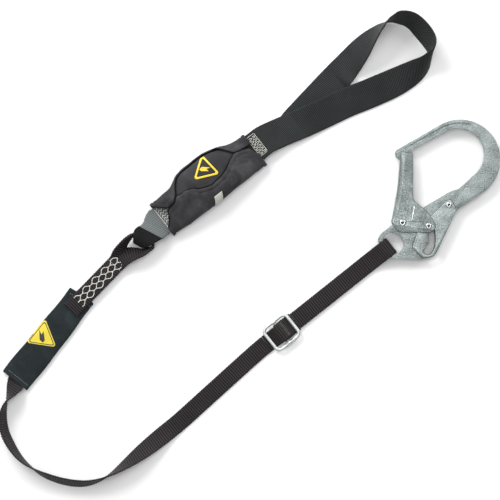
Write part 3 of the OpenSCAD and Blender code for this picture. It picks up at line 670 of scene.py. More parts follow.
def cloth_material(name, base, lift, weave=0.0009, rough=0.85, smudge_amount=0.35, sheen=0.25, bump=0.00012):
    """Plain-weave coated nylon: fine crossed threads and random lighter smudges."""
    material, tree, shader = new_material(name)
    flat = add(tree, "ShaderNodeUVMap", uv_map="UVMap").outputs[0]
    place = add(tree, "ShaderNodeSeparateXYZ", {0: flat})
    turns = 2 * math.pi / weave
    over = maths(tree, "SINE", maths(tree, "MULTIPLY", place.outputs[0], turns))
    under = maths(tree, "SINE", maths(tree, "MULTIPLY", place.outputs[1], turns))
    check = maths(tree, "MULTIPLY_ADD", maths(tree, "MULTIPLY", over, under), 0.5, 0.5)
    solid = add(tree, "ShaderNodeTexCoord").outputs["Object"]
    smudge = add(tree, "ShaderNodeTexNoise", {
        "Vector": solid, "Scale": 35.0, "Detail": 6.0, "Roughness": 0.6, "Distortion": 0.8})
    grit = add(tree, "ShaderNodeTexNoise", {"Vector": solid, "Scale": 700.0, "Detail": 2.0})
    streak = maths(tree, "POWER", smudge.outputs[0], 2.6)
    # Lighter smudges from a large noise, mixed into the colour with the weave and the grit.
    tone = maths(tree, "ADD", maths(tree, "MULTIPLY", check, 0.35), maths(
        tree, "MULTIPLY_ADD", streak, smudge_amount * 4, maths(tree, "MULTIPLY", grit.outputs[0], 0.3)))
    tree.links.new(colour_mix(tree, maths(tree, "MULTIPLY", tone, 0.7), (*base, 1), (*lift, 1)),
                   shader.inputs["Base Color"])
    shader.inputs["Roughness"].default_value = rough
    shader.inputs["Sheen Weight"].default_value = sheen
    shader.inputs["Specular IOR Level"].default_value = 0.16
    rise = maths(tree, "MULTIPLY_ADD", grit.outputs[0], 0.6, check)
    relief = add(tree, "ShaderNodeBump", {"Height": rise, "Distance": bump, "Strength": 0.7})
    tree.links.new(relief.outputs[0], shader.inputs["Normal"])
    return material


# The wear sleeve lies on the outside of the bight and is a little wider than the webbing
WEAR_END = -103.5
WEAR_OUT = 1.95
WEAR_SPREAD = 0.5
wear_cloth = cloth_material("wear sleeve cloth", (0.002, 0.002, 0.0024), (0.016, 0.016, 0.0175),
                            sheen=0.03)
wear_points = smooth(web_side[3:-3], 6)
wear_run = np.gradient(wear_points, axis=0)
wear_run /= np.linalg.norm(wear_run, axis=1)[:, None]
wear_points = wear_points + np.stack([wear_run[:, 1], -wear_run[:, 0]], axis=1) * WEAR_OUT
wear_points = [row for row in spaced(wear_points, wear_points, 1.2) if row[0] < WEAR_END]
wear_sleeve = webbing("wear_sleeve_cloth", *(
    on_absorber(np.array([web_row(x, z, edge) for x, z in wear_points]) + (0, spread, 0))
    for edge, spread in ((web_upper, WEAR_SPREAD), (web_lower, -WEAR_SPREAD))), 1.3, 13)
wear_sleeve.data.materials.append(wear_cloth)
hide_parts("wear_sleeve")
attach(wear_sleeve, "lanyard")

# Zigzags across the webbing where it comes out of the cover, and one straight row beside them
web_lines = [on_absorber([(x, v, 11.3) for x, v in zigzag(-78.5, -64, y, 3.6, 6)]) * MM
             for y in np.arange(-10, 20, 4.6)]
web_lines.append(on_absorber([(-80.6, y, 11.6) for y in np.arange(-13, 20, 2.6)]) * MM)
sewn("absorber_stitches", web_lines, 0.5, "lanyard", ["absorber_stitching"], share=1.1)

# ---- Tear pack ----
# Woven tear web folded over and over, hidden in the cover until it is opened.
pack_cloth = webbing_material("tear web", (0.3, 0.28, 0.2), (0.72, 0.68, 0.52), 0.002, 0.0012)
folds = []
for i in range(4):
    z, x = 12.2 + 2.6 * i, 34 if i % 2 == 0 else -34
    folds += [(-x, z), (x, z), (x * 1.06, z + 1.3)]
pack_path = np.array(folds[:11], float)
pack_path = spaced(pack_path, pack_path, 1.2)
pack_edges = [on_absorber([(x, side * 18, z) for x, z in pack_path])
              for side in (1, -1)]
tear_pack = webbing("tear_pack_webbing", *pack_edges, 2.0, 9)
tear_pack.data.materials.append(pack_cloth)
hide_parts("tear_pack")
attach(tear_pack, "lanyard")

# ---- Absorber cover ----
# Two panels of black coated nylon wrap the pack from both sides. Their hemmed edges cross near
# the ends and part in the middle over an inner pouch, with near-black rolls along them that paint
# the shade in the gaps there. The flap's edge roll, hem stitches and tag hang on the flap's body,
# but the flap panel itself is fixed.
COVER_HEIGHT = 29
COVER_END_HEIGHT = 17
COVER_HALF = 82
COVER_CORNER = 0.72
CLOTH = 1.4
flap_edge = [(-82, 115), (-73, 98), (-65, 84), (-52, 82), (-44, 71), (-37, 77), (-15, 91), (4, 99),
             (22, 96), (40, 89), (51, 79), (55, 75), (66, 76), (76, 82), (82, 99)]
back_edge = [(-82, 28), (-80, 37), (-75, 55), (-70, 68), (-65, 79), (-52, 77), (-44, 63), (-36, 34),
             (-29, 14), (-20, 8), (0, 6), (30, 8), (39, 14), (47, 44), (55, 69), (62, 71), (82, 74)]


def along_cover(table):
    return lambda x: float(np.interp(x, [p[0] for p in table], [p[1] for p in table]))


# Half widths of the cover along its length, above and below its middle line
cover_high = smooth([(-84, 26), (-70, 27), (-56, 27.8), (-43, 28.8), (-35, 31.8), (-27, 35.2),
                     (-15, 37.4), (0, 38), (15, 37.4), (28, 35.4), (39.5, 32), (50, 27.8),
                     (62, 24.2), (74, 22.4), (84, 21.8)], 8)
cover_low = smooth([(-84, -26.6), (-68, -26.9), (-46, -28.4), (-20, -29.5), (10, -29.8),
                    (50, -29.6), (84, -29.2)], 8)


def cover_section(x, angles, inset):
    """Points round the cover's section at a place along it, drawn in by an inset."""
    top = COVER_HEIGHT + (COVER_END_HEIGHT - COVER_HEIGHT) * min(1, abs(x) / COVER_HALF) ** 1.6
    low = float(np.interp(x, cover_low[:, 0], cover_low[:, 1]))
    high = float(np.interp(x, cover_high[:, 0], cover_high[:, 1]))
    c, s = np.cos(np.radians(angles)), np.sin(np.radians(angles))
    y = (low + high) / 2 + (high - low) / 2 * np.sign(c) * np.abs(c) ** COVER_CORNER
    z = top / 2 + 0.1 + top / 2 * np.sign(s) * np.abs(s) ** COVER_CORNER
    toward = np.stack([(low + high) / 2 - y, top / 2 - z], axis=1)
    toward /= np.linalg.norm(toward, axis=1)[:, None]
    inset = np.broadcast_to(inset, len(y))
    return y + toward[:, 0] * inset, z + toward[:, 1] * inset


def shell(name, outer, inner, uv):
    """Closed cloth between two grids of points, in metres."""
    rows, columns = outer.shape[:2]
    count = rows * columns
    faces = []
    for i in range(rows - 1):
        for j in range(columns - 1):
            a = i * columns + j
            faces.append((a, a + 1, a + columns + 1, a + columns))
            faces.append((count + a, count + a + columns, count + a + columns + 1, count + a + 1))
    rim = [i * columns for i in range(rows)]
    rim += [(rows - 1) * columns + j for j in range(1, columns)]
    rim += [i * columns + columns - 1 for i in range(rows - 2, -1, -1)]
    rim += [j for j in range(columns - 2, 0, -1)]
    faces += [(a, b, count + b, count + a) for a, b in zip(rim, rim[1:] + rim[:1])]
    points = np.concatenate([outer.reshape(-1, 3), inner.reshape(-1, 3)])
    return mesh_of(name, points, faces, np.concatenate([uv.reshape(-1, 2)] * 2))


def creases(x, y, z, seed, scale, depth):
    """Soft random relief in millimetres."""
    return depth * noise.noise(Vector((x / scale + seed, y / scale, z / scale)))


def cover_panel(name, places, start, stop, columns, inset, hem, seed, depth):
    """Cloth wrapped round part of the section between two edges, with a hem along the first."""
    outer, inner, uv = [], [], []
    for x in places:
        angles = np.linspace(start(x), stop(x), columns)
        y, z = cover_section(x, angles, 0)
        run = np.concatenate([[0], np.cumsum(np.hypot(np.diff(y), np.diff(z)))])
        end = min(abs(x - places[0]), abs(x - places[-1]))
        edge = np.minimum(run, end)
        fold = hem * np.clip((5.5 - edge) / 1.2, 0, 1) - 0.5 * np.exp(-((edge - 5.8) / 0.9) ** 2)
        fold += 1.1 * np.exp(-((run - 9) / 6) ** 2) * (hem > 0)
        wave = [creases(x, b, c, seed, 26, depth) + creases(x, b, c, seed + 9, 9, depth * 0.3)
                for b, c in zip(y, z)]
        relief = fold + np.array(wave)
        a, b = cover_section(x, angles, inset - relief)
        outer.append(np.stack([np.full(columns, x), a, b], axis=1))
        a, b = cover_section(x, angles, inset + CLOTH - relief * 0.8)
        inner.append(np.stack([np.full(columns, x), a, b], axis=1))
        uv.append(np.stack([np.full(columns, x), run], axis=1))
    outer, inner = (on_absorber(grid) * MM for grid in (outer, inner))
    for grid in (outer, inner):
        grid[..., 2] = np.maximum(grid[..., 2], 0.0001)
    return shell(name, outer, inner, np.array(uv) * MM)


cover_cloth = cloth_material("cover cloth", (0.003, 0.003, 0.004), (0.06, 0.06, 0.065), smudge_amount=0.8,
                             sheen=0.05)
pouch_cloth = cloth_material("pouch cloth", (0.014, 0.014, 0.015), (0.07, 0.07, 0.074), sheen=0.08)
cover_places = np.linspace(-COVER_HALF, COVER_HALF, 150)
cover_back = cover_panel("cover_back_panel", cover_places, along_cover(back_edge), lambda x: -138,
                         70, 0.0, 0.9, 3.0, 1.25)
cover_back.data.materials.append(cover_cloth)
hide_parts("cover_back")
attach(cover_back, "lanyard")

cover_flap = cover_panel("cover_flap_panel", cover_places, along_cover(flap_edge), lambda x: 218,
                         60, 0.0, 1.1, 17.0, 1.25)
cover_flap.data.materials.append(cover_cloth)
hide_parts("cover_flap")


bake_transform(cover_flap)

pouch_places = np.linspace(-60, 56, 100)
pouch = cover_panel("pouch_cloth", pouch_places, lambda x: 8, lambda x: 128, 60, CLOTH + 1.4, 0.0,
                    31.0, 1.2)
pouch.data.materials.append(pouch_cloth)
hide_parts("inner_pouch")
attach(pouch, "lanyard")


SHADE_ROLL_RADIUS = 0.95
SHADE_ROLL_TURNS = 10


def shade_roll(name, table, places, inset, back, body):
    """A near-black roll along a panel's edge, painted as the shade in the gap there."""
    middle = []
    for x in places:
        y, z = cover_section(x, np.array([along_cover(table)(x) - back * 0.9]), inset)
        middle.append((x, y[0], z[0]))
    middle = smooth(middle, 2)
    run = np.gradient(middle, axis=0)
    run /= np.linalg.norm(run, axis=1)[:, None]
    side = np.cross(run, (0, 0, 1.0))
    side /= np.linalg.norm(side, axis=1)[:, None]
    rise = np.cross(side, run)
    angles = 2 * math.pi * np.arange(SHADE_ROLL_TURNS) / SHADE_ROLL_TURNS
    rings = middle[:, None] + SHADE_ROLL_RADIUS * (side[:, None] * np.cos(angles)[None, :, None]
                                               + rise[:, None] * np.sin(angles)[None, :, None])
    points = on_absorber(rings).reshape(-1, 3) * MM
    piece = mesh_of(name, points, tube_faces(len(middle), SHADE_ROLL_TURNS))
    piece.data.materials.append(edge_shade_cloth)
    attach(piece, body)


# Near-black cloth that paints the shade in the gaps along the panels' edges.
edge_shade_cloth = cloth_material("edge shade roll", (0.001, 0.001, 0.0012), (0.009, 0.009, 0.01), sheen=0.02)
shade_roll("flap_shade_roll", flap_edge, np.arange(-80, 80.5, 2), -0.7, 1, "cover_flap")
shade_roll("back_shade_roll_left", back_edge, np.arange(-80, -29.5, 2), -0.7, -1, "lanyard")
shade_roll("back_shade_roll_right", back_edge, np.arange(34, 80.5, 2), -0.7, -1, "lanyard")


def hem_line(table, places, inset, back):
    """Stitch points on the cover, a set distance back from a panel's edge."""
    gap = 4.2
    line = []
    for x in places:
        start = along_cover(table)(x)
        angles = start + back * np.linspace(0, 30, 60)
        y, z = cover_section(x, angles, inset)
        run = np.concatenate([[0], np.cumsum(np.hypot(np.diff(y), np.diff(z)))])
        line.append((x, np.interp(gap, run, y), np.interp(gap, run, z)))
    return on_absorber(line) * MM


sewn("flap_hem_stitches", [hem_line(flap_edge, np.arange(-60, 66, 3), -0.75, 1)], 0.22,
     "cover_flap", thread=black_thread, share=0.8)
sewn("back_hem_stitches", [hem_line(back_edge, np.arange(-66, -46, 3), -0.75, -1),
                           hem_line(back_edge, np.arange(50, 80, 3), -0.75, -1)], 0.22, "lanyard",
     thread=black_thread, share=0.8)

tape_cloth = cloth_material("fastening tape", (0.008, 0.008, 0.009), (0.04, 0.04, 0.042),
                            weave=0.0016)
for tape in ("hook_tape", "loop_tape"):
    finish_node(tape, tape_cloth)

# ---- Signs ----
# Plain zigzag bolts in yellow rounded triangles, printed on the pouch and on the sleeve.


def print_material(name, ink, worn):
    """Screen-printed ink that takes the weave of the cloth under it and is rubbed in places."""
    material, tree, shader = new_material(name)
    place = add(tree, "ShaderNodeTexCoord").outputs["Object"]
    rub = add(tree, "ShaderNodeTexNoise", {"Vector": place, "Scale": 120.0, "Detail": 4.0})
    weave = add(tree, "ShaderNodeTexNoise", {"Vector": place, "Scale": 900.0, "Detail": 2.0})
    worn_share = maths(tree, "MULTIPLY", maths(tree, "POWER", rub.outputs[0], 3.0), 0.9)
    tree.links.new(colour_mix(tree, worn_share, (*ink, 1), (*worn, 1)), shader.inputs["Base Color"])
    shader.inputs["Roughness"].default_value = 0.55
    relief = add(tree, "ShaderNodeBump", {"Height": weave.outputs[0], "Distance": 0.0001})
    tree.links.new(relief.outputs[0], shader.inputs["Normal"])
    return material


yellow_ink = print_material("yellow ink", (0.86, 0.62, 0.035), (0.5, 0.36, 0.05))
lemon_ink = print_material("lemon ink", (0.72, 0.58, 0.035), (0.42, 0.33, 0.05))
dark_ink = print_material("dark ink", (0.02, 0.024, 0.024), (0.05, 0.05, 0.045))
BOLT = [(0.16, 0.5), (-0.42, -0.1), (-0.06, -0.05), (-0.28, -0.5), (0.42, 0.12), (0.1, 0.08),
        (0.42, 0.5)]


def triangle_outline(radius, corner):
    """Points round a triangle with rounded corners, twelve to a corner."""
    line = []
    for a in (90, 210, 330):
        centre = ((radius - corner) * math.cos(math.radians(a)),
                  (radius - corner) * math.sin(math.radians(a)))
        line += arc(centre, corner, a - 60, a + 60, 11)
    return line


def drape(name, flat, faces, origin, angle, onto, lift, material, slot):
    """A thin printed shape laid on the surface under it."""
    tree = BVHTree.FromObject(onto, bpy.context.evaluated_depsgraph_get())
    points = []
    for x, y, _ in placed(origin, angle, [(x, y, 0) for x, y in flat]) * MM:
        hit = tree.ray_cast(Vector((x, y, 0.2)), Vector((0, 0, -1)))[0]
        hit = hit or tree.find_nearest(Vector((x, y, 0.02)))[0]
        points.append((hit.x, hit.y, hit.z + lift * MM))
    count = len(points)
    edges = dict.fromkeys((a, b) for face in faces for a, b in zip(face, face[1:] + face[:1]))
    rim = [(a, b) for a, b in edges if (b, a) not in edges]
    solid = [tuple(f) for f in faces] + [tuple(count + i for i in reversed(f)) for f in faces]
    solid += [(b, a, count + a, count + b) for a, b in rim]
    points += [(x, y, z - 0.25 * MM) for x, y, z in points]
    piece = mesh_of(name, points, solid)
    piece.data.materials.append(material)
    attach(piece, "lanyard")
    return piece


def ring_shape(outer, inner, layers=3):
    """A band between two outlines of the same number of points, its long sides cut short."""
    cuts = [max(1, round(math.dist(a, b) / 1.2)) for a, b in zip(outer, outer[1:] + outer[:1])]
    outer, inner = finer(outer, cuts), finer(inner, cuts)
    count = len(outer)
    flat = [(o[0] + (i[0] - o[0]) * k / layers, o[1] + (i[1] - o[1]) * k / layers)
            for k in range(layers + 1) for o, i in zip(outer, inner)]
    faces = [[k * count + j, k * count + (j + 1) % count, (k + 1) * count + (j + 1) % count,
              (k + 1) * count + j] for k in range(layers) for j in range(count)]
    return flat, faces


def finer(line, cuts):
    """An outline with each side cut into a number of shorter ones."""
    return [(a[0] + (b[0] - a[0]) * k / cut, a[1] + (b[1] - a[1]) * k / cut)
            for a, b, cut in zip(line, line[1:] + line[:1], cuts) for k in range(cut)]


def filled_shape(line):
    """A filled outline, cut into small triangles."""
    shape = bmesh.new()
    face = shape.faces.new([shape.verts.new((x, y, 0)) for x, y in line])
    bmesh.ops.triangulate(shape, faces=[face])
    bmesh.ops.subdivide_edges(shape, edges=shape.edges, cuts=6, use_grid_fill=True)
    shape.verts.index_update()
    flat = [(v.co.x, v.co.y) for v in shape.verts]
    faces = [[v.index for v in f.verts] for f in shape.faces]
    shape.free()
    return flat, faces


def scaled(line, size, shift=0.0):
    return [(x * size, y * size + shift) for x, y in line]


pouch_at = on_absorber([(9.8, 18, 0)])[0][:2]
pouch_turn = ABSORBER_ANGLE + math.radians(95)
ring_edges = triangle_outline(19, 3), triangle_outline(15.0, 1.5)
sign_ring = drape("pouch_sign_ring", *ring_shape(*ring_edges), pouch_at, pouch_turn, pouch, 0.3,
                  yellow_ink, "sign_yellow")
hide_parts("pouch_sign")
sign_bolt = drape("pouch_sign_bolt", *filled_shape(scaled(BOLT, 13.4, -0.8)), pouch_at,
                  pouch_turn, pouch, 0.35, yellow_ink, "sign_yellow")
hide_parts("pouch_bolt")

# ---- Care tag ----
# A small woven tag, plain, laid slanting on the flap.
TAG_ROWS, TAG_COLUMNS = 9, 12
tag_material = cloth_material("tag cloth", (0.42, 0.42, 0.38), (0.72, 0.72, 0.68), smudge_amount=0.1,
                              sheen=0.0)
tag_outer, tag_inner, tag_uv = [], [], []
for i in range(TAG_ROWS):
    x = -3.9 + 13.3 * i / (TAG_ROWS - 1)
    angles = np.linspace(126, 166, TAG_COLUMNS)
    y, z = cover_section(x, angles, -1.6)
    a, b = cover_section(x, angles, -1.1)
    shear = np.linspace(0, 1, TAG_COLUMNS) * 6.9
    tag_outer.append(np.stack([x - shear, y, z], axis=1))
    tag_inner.append(np.stack([x - shear, a, b], axis=1))
    tag_uv.append(np.stack([np.full(TAG_COLUMNS, x), y + z], axis=1))
care_tag = shell("care_tag_cloth", on_absorber(tag_outer) * MM, on_absorber(tag_inner) * MM,
                 np.array(tag_uv) * MM)
care_tag.data.materials.append(tag_material)
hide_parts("care_tag")
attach(care_tag, "cover_flap")

# ---- Label sleeve ----
# A flattened tube of heavy black nylon round the strap, hemmed at both ends, with the label
# booklet inside.
SLEEVE = (-284, -190)
SLEEVE_ANGLE = math.radians(51.4)
SLEEVE_THICK = 6.4
SLEEVE_HALF = 76
SLEEVE_STEPS = 40
sleeve_cloth = cloth_material("sleeve cloth", (0.003, 0.006, 0.007), (0.036, 0.046, 0.05),
                              weave=0.0012, smudge_amount=0.3, sheen=0.06)


def on_sleeve(points):
    """Rows counted from the middle of the sleeve, along it and across it."""
    return placed(SLEEVE, SLEEVE_ANGLE, points)


def sleeve_ring(k, inset):
    """One ring of the sleeve, k of the way from its near end to its far one."""
    ring = []
    for i in range(2 * SLEEVE_STEPS):
        t = 2 * math.pi * i / (2 * SLEEVE_STEPS)
        u = np.sign(math.cos(t)) * abs(math.cos(t)) ** 0.7
        v = np.sign(math.sin(t)) * abs(math.sin(t)) ** 0.5
        upper = 20.6 + 0.7 * math.sin(5.2 * k + 0.6) + 0.5 * math.sin(13 * k)
        lower = -23.3 + 3.0 * k + 0.6 * math.sin(6.1 * k + 2.0) + 0.35 * math.sin(15 * k + 1)
        y = (upper + lower) / 2 + u * ((upper - lower) / 2 - inset)
        far = np.interp(y, [-20.5, -13.1, 20.3], [76, 78.4, 74])
        x = -SLEEVE_HALF + (far + SLEEVE_HALF) * k
        end = min(x + SLEEVE_HALF, far - x)
        z = SLEEVE_THICK / 2 + v * (SLEEVE_THICK / 2 - inset)
        if v > 0:
            hem = 0.5 * np.clip((6 - end) / 1.2, 0, 1) - 0.4 * math.exp(-((end - 6.3) / 0.8) ** 2)
            soft = creases(x, y, 0, 5.0, 20, 0.7) + creases(x, y, 0, 8.0, 7, 0.25)
            z += v * (hem + soft)
        ring.append((x, y, max(z, 0.05)))
    return ring


sleeve_rows = np.linspace(0, 1, 110)
sleeve_outer, sleeve_inner = (on_sleeve([sleeve_ring(k, inset) for k in sleeve_rows]) * MM
                              for inset in (0, 1.0))
around = sleeve_outer.shape[1]
sleeve_count = sleeve_outer.shape[0] * around
sleeve_faces = []
for i in range(len(sleeve_rows) - 1):
    for j in range(around):
        a, b = i * around + j, i * around + (j + 1) % around
        sleeve_faces.append((a, b, b + around, a + around))
        sleeve_faces.append((sleeve_count + a, sleeve_count + a + around, sleeve_count + b + around,
                             sleeve_count + b))
for row in (0, len(sleeve_rows) - 1):
    for j in range(around):
        a, b = row * around + j, row * around + (j + 1) % around
        sleeve_faces.append((a, sleeve_count + a, sleeve_count + b, b))
sleeve_flat = np.array([[(2 * SLEEVE_HALF * k, 2.2 * j * 1.15) for j in range(around)]
                        for k in sleeve_rows])
label_sleeve = mesh_of("label_sleeve_cloth", np.concatenate([
    sleeve_outer.reshape(-1, 3), sleeve_inner.reshape(-1, 3)]), sleeve_faces,
    np.concatenate([sleeve_flat.reshape(-1, 2)] * 2) * MM)
label_sleeve.data.materials.append(sleeve_cloth)
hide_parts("label_sleeve")
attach(label_sleeve, "lanyard")


def laid_line(points, onto, lift):
    """Points in metres set on the surface below them."""
    tree = BVHTree.FromObject(onto, bpy.context.evaluated_depsgraph_get())
    line = []
    for x, y, _ in points:
        hit = tree.ray_cast(Vector((x, y, 0.2)), Vector((0, 0, -1)))[0]
        if hit is not None:
            line.append((x, y, hit.z + lift * MM))
    return line


hem_places = np.arange(-19, 18, 2.9)
hems = [laid_line(on_sleeve([(x + tilt * y, y, 0) for y in hem_places]) * MM, label_sleeve, 0.1)
        for x, tilt in ((-69.6, 0.0), (69.4, -0.1))]
sewn("sleeve_stitches", hems, 0.3, "lanyard", ["sleeve_stitching"], thread=grey_thread, share=0.8)

sleeve_at = on_sleeve([(-3, 8, 0)])[0][:2]
sleeve_turn = SLEEVE_ANGLE + math.pi
face_edges = triangle_outline(22, 3), scaled(triangle_outline(22, 3), 0.02)
sleeve_sign = drape("sleeve_sign_face", *ring_shape(*face_edges, 16), sleeve_at, sleeve_turn,
                    label_sleeve, 0.25, lemon_ink, "sign_yellow")
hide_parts("sleeve_sign")
line_edges = triangle_outline(19.6, 2.4), triangle_outline(18.1, 1.9)
drape("sleeve_sign_line", *ring_shape(*line_edges, 1), sleeve_at, sleeve_turn, label_sleeve, 0.45,
      dark_ink, "sign_dark")
sleeve_bolt = drape("sleeve_sign_bolt", *filled_shape(scaled(BOLT, 15.4, -1.6)), sleeve_at,
                    sleeve_turn, label_sleeve, 0.45, dark_ink, "sign_dark")
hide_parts("sleeve_bolt")

booklet_material = print_material("booklet paper", (0.62, 0.63, 0.58), (0.45, 0.45, 0.4))
finish_node("label_booklet", booklet_material)

# ---- Hook ----
# A drop-forged steel hook, zinc plated. A groove runs along both faces of its arm, and the
# webbing's eye has a rounded bar.
HOOK = (ADJUSTER[0] + LEAD_LENGTH * math.cos(LEAD_ANGLE),
        ADJUSTER[1] + LEAD_LENGTH * math.sin(LEAD_ANGLE))
zinc = metal("zinc plated forging", (0.275, 0.315, 0.308), 0.36, mottle=0.62, grain=620.0)
# A pale zinc that paints the highlight on the gate's pressed bead.
worn = metal("zinc painted with highlight", (0.78, 0.83, 0.82), 0.24, pits=0.00006, mottle=0.2, grain=650.0)


def copy_of(name, node):
    """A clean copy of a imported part's mesh: joined corners and whole flat faces."""
    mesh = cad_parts[node].data.copy()
    mesh.materials.clear()
    shape = bmesh.new()
    shape.from_mesh(mesh)
    bmesh.ops.remove_doubles(shape, verts=shape.verts, dist=0.000004)
    bmesh.ops.dissolve_limit(shape, angle_limit=math.radians(1.5), verts=shape.verts,
                             edges=shape.edges)
    shape.to_mesh(mesh)
    shape.free()
    return linked(name, mesh)


def rounded(piece, width, segments, face_metal, edge_metal, limit=35, clamp=True):
    """Rounds a piece's edges and gives its faces and edges their metals."""
    piece.data.materials.clear()
    piece.data.materials.append(face_metal)
    piece.data.materials.append(edge_metal)
    bevel = piece.modifiers.new("bevel", "BEVEL")
    bevel.width = width * MM
    bevel.segments = segments
    bevel.limit_method = "ANGLE"
    bevel.angle_limit = math.radians(limit)
    bevel.harden_normals = True
    bevel.material = 1
    bevel.use_clamp_overlap = clamp
    piece.data.polygons.foreach_set("use_smooth", [True] * len(piece.data.polygons))
    return keep_result(piece)


def cut_out(piece, cutter):
    """Cuts one closed piece out of another and drops the cutter."""
    cut = piece.modifiers.new("cut", "BOOLEAN")
    cut.operation = "DIFFERENCE"
    cut.solver = "EXACT"
    cut.object = cutter
    keep_result(piece)
    bpy.data.objects.remove(cutter)


def on_hook(points):
    """Hook points, in millimetres from the middle of its eye, in metres on the surface."""
    return np.array([(HOOK[0] + x, HOOK[1] + y, HOOK_HEIGHT + z) for x, y, z in points]) * MM


groove_route = smooth([(17, 132, 1.5), (26, 136.9, 4.2), (45, 147.4, 5.4), (62, 157, 5.6),
                       (76, 163.6, 5.6), (90, 166.6, 5.2), (102, 166.4, 3.2), (108, 166.2, 1.0)], 6)
groove_run = np.gradient(groove_route[:, :2], axis=0)
groove_run /= np.linalg.norm(groove_run, axis=1)[:, None]
groove_side = np.stack([-groove_run[:, 1], groove_run[:, 0]], axis=1)
groove_section = ((1.0, 0.8), (0.55, -1.1), (-0.55, -1.1), (-1.0, 0.8))
hook_body = copy_of("hook_forging", "hook_body")
for face in (1, -1):
    points = [(x + sx * reach * w / 2, y + sy * reach * w / 2, face * (4.5 + depth))
              for (x, y, w), (sx, sy) in zip(groove_route, groove_side)
              for reach, depth in groove_section]
    cut_out(hook_body, mesh_of("groove_%d" % face, on_hook(points),
                               tube_faces(len(groove_route), len(groove_section))))
rounded(hook_body, 1.9, 4, zinc, zinc)
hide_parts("hook_body")
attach(hook_body, "hook")

# ---- Lock lever ----
# Two plates joined by a back wall, folded from one sheet. A window in them holds the lock rivet.
# Their rounded edges are painted near-black as the shade between the plates.
sheet_zinc = metal("zinc plated sheet", (0.27, 0.31, 0.303), 0.36, pits=0.00006, mottle=0.58,
                   grain=680.0)
# Near-black metal that paints the shade along the plates' rounded edges.
edge_shade_metal = metal("sheet edge painted as shade", (0.05, 0.06, 0.058), 0.5, pits=0.00003, mottle=0.3,
                 metallic=0.5)
lock_lever = rounded(copy_of("lock_lever_plates", "lock_lever"), 0.6, 3, sheet_zinc, edge_shade_metal,
                     clamp=False)
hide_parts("lock_lever")
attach(lock_lever, "lever")

# ---- Gate ----
# Two plates folded from one sheet round the hook's nose side. The folded side is rounded, and a
# pressed bead, painted bright as its highlight, stiffens the upper plate.
GATE_SIDE = [(16, 12.5), (21.6, 3), (27, -0.4), (32, -1.8), (75.5, 6.2), (121.5, 10.3),
             (128.7, 12.6)]
GATE_CREASE = [(32, 4.9), (75.5, 6.3), (121.5, 5.6), (128.7, 4.6)]
FOLD_DEPTH = [(31, 0), (35, 5.2), (104, 5.2), (117, 1.7), (128.7, 1.2)]
GATE_CUTS = (31, 32, 33, 35, 42, 50, 60, 75.5, 90, 104, 108, 112, 117, 121.5, 125)
FOLD_CUTS = (0.7, 1.4, 2.2, 3.1, 4.1, 5.0, 5.9, 6.8)
GATE_HALF = 8.4


def by_height(table, y):
    return float(np.interp(y, [row[0] for row in table], [row[1] for row in table]))


# The plates are cut into strips along the folded side, then their heights follow its round
gate = copy_of("gate_plates", "gate")
fold = bmesh.new()
fold.from_mesh(gate.data)
hook_origin = Vector(on_hook([(0, 0, 0)])[0])
for y in GATE_CUTS:
    bmesh.ops.bisect_plane(fold, geom=fold.verts[:] + fold.edges[:] + fold.faces[:], dist=1e-7,
                           plane_co=hook_origin + Vector((0, y, 0)) * MM, plane_no=(0, 1, 0))
for low, high in ((31, 75.5), (75.5, 121.5), (121.5, 128.8)):
    first, last = by_height(GATE_SIDE, low), by_height(GATE_SIDE, high)
    for inset in FOLD_CUTS:
        band = [face for face in fold.faces
                if low < (face.calc_center_median().y - hook_origin.y) / MM < high]
        parts = set(band)
        for face in band:
            parts.update(face.edges)
            parts.update(face.verts)
        bmesh.ops.bisect_plane(fold, geom=list(parts), dist=1e-7,
                               plane_co=hook_origin + Vector((first + inset, low, 0)) * MM,
                               plane_no=(high - low, first - last, 0))
for vert in fold.verts:
    x, y, z = (vert.co - hook_origin) / MM
    away = max(0.0, x - by_height(GATE_SIDE, y)) / by_height(GATE_CREASE, y)
    drop = by_height(FOLD_DEPTH, y) * (1 - math.sqrt(1 - max(0.0, 1 - away) ** 2))
    ridge = 0.3 * math.exp(-((away - 1.02) / 0.14) ** 2) * min(1.0, max(0.0, (y - 31) / 6))
    vert.co.z = hook_origin.z + z * (GATE_HALF - drop + ridge) / GATE_HALF * MM
fold.to_mesh(gate.data)
fold.free()
# The rounded edges are painted near-black as shade, as on the lever.
rounded(gate, 0.6, 3, sheet_zinc, edge_shade_metal, 50, clamp=False)
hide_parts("gate")
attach(gate, "gate")

BEAD_START, BEAD_END = np.array((26.2, 31.1)), np.array((30.0, 52.4))
BEAD_HALF, BEAD_RISE = 1.25, 1.0
BEAD_ROWS, BEAD_TURNS = 17, 12
bead_length = np.linalg.norm(BEAD_END - BEAD_START)
bead_run = (BEAD_END - BEAD_START) / bead_length
bead_points = []
for theta in np.linspace(0.12, math.pi - 0.12, BEAD_ROWS):
    along = math.copysign(abs(math.cos(theta)) ** 0.4, math.cos(theta)) * bead_length / 2
    centre = (BEAD_START + BEAD_END) / 2 + bead_run * along
    for phi in 2 * math.pi * np.arange(BEAD_TURNS) / BEAD_TURNS:
        out = BEAD_HALF * math.sin(theta) * math.cos(phi)
        bead_points.append((centre[0] - bead_run[1] * out, centre[1] + bead_run[0] * out,
                            GATE_HALF - 0.1 + BEAD_RISE * math.sin(theta) * math.sin(phi)))
bead = mesh_of("gate_bead", on_hook(bead_points), tube_faces(BEAD_ROWS, BEAD_TURNS))
# The bead's pale zinc is a painted highlight.
bead.data.materials.append(worn)
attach(bead, "gate")

# ---- Rivets, washers and springs ----
# Domed steel rivets with a small hollow in each head, bright where they were set. Each hollow is
# painted near-black as shade.
SHANK_RADIUS = 2.2
RIVET_TURNS = 40
bright = metal("bright rivet steel", (0.62, 0.64, 0.64), 0.2, pits=0.00001, mottle=0.15,
               metallic=0.9)
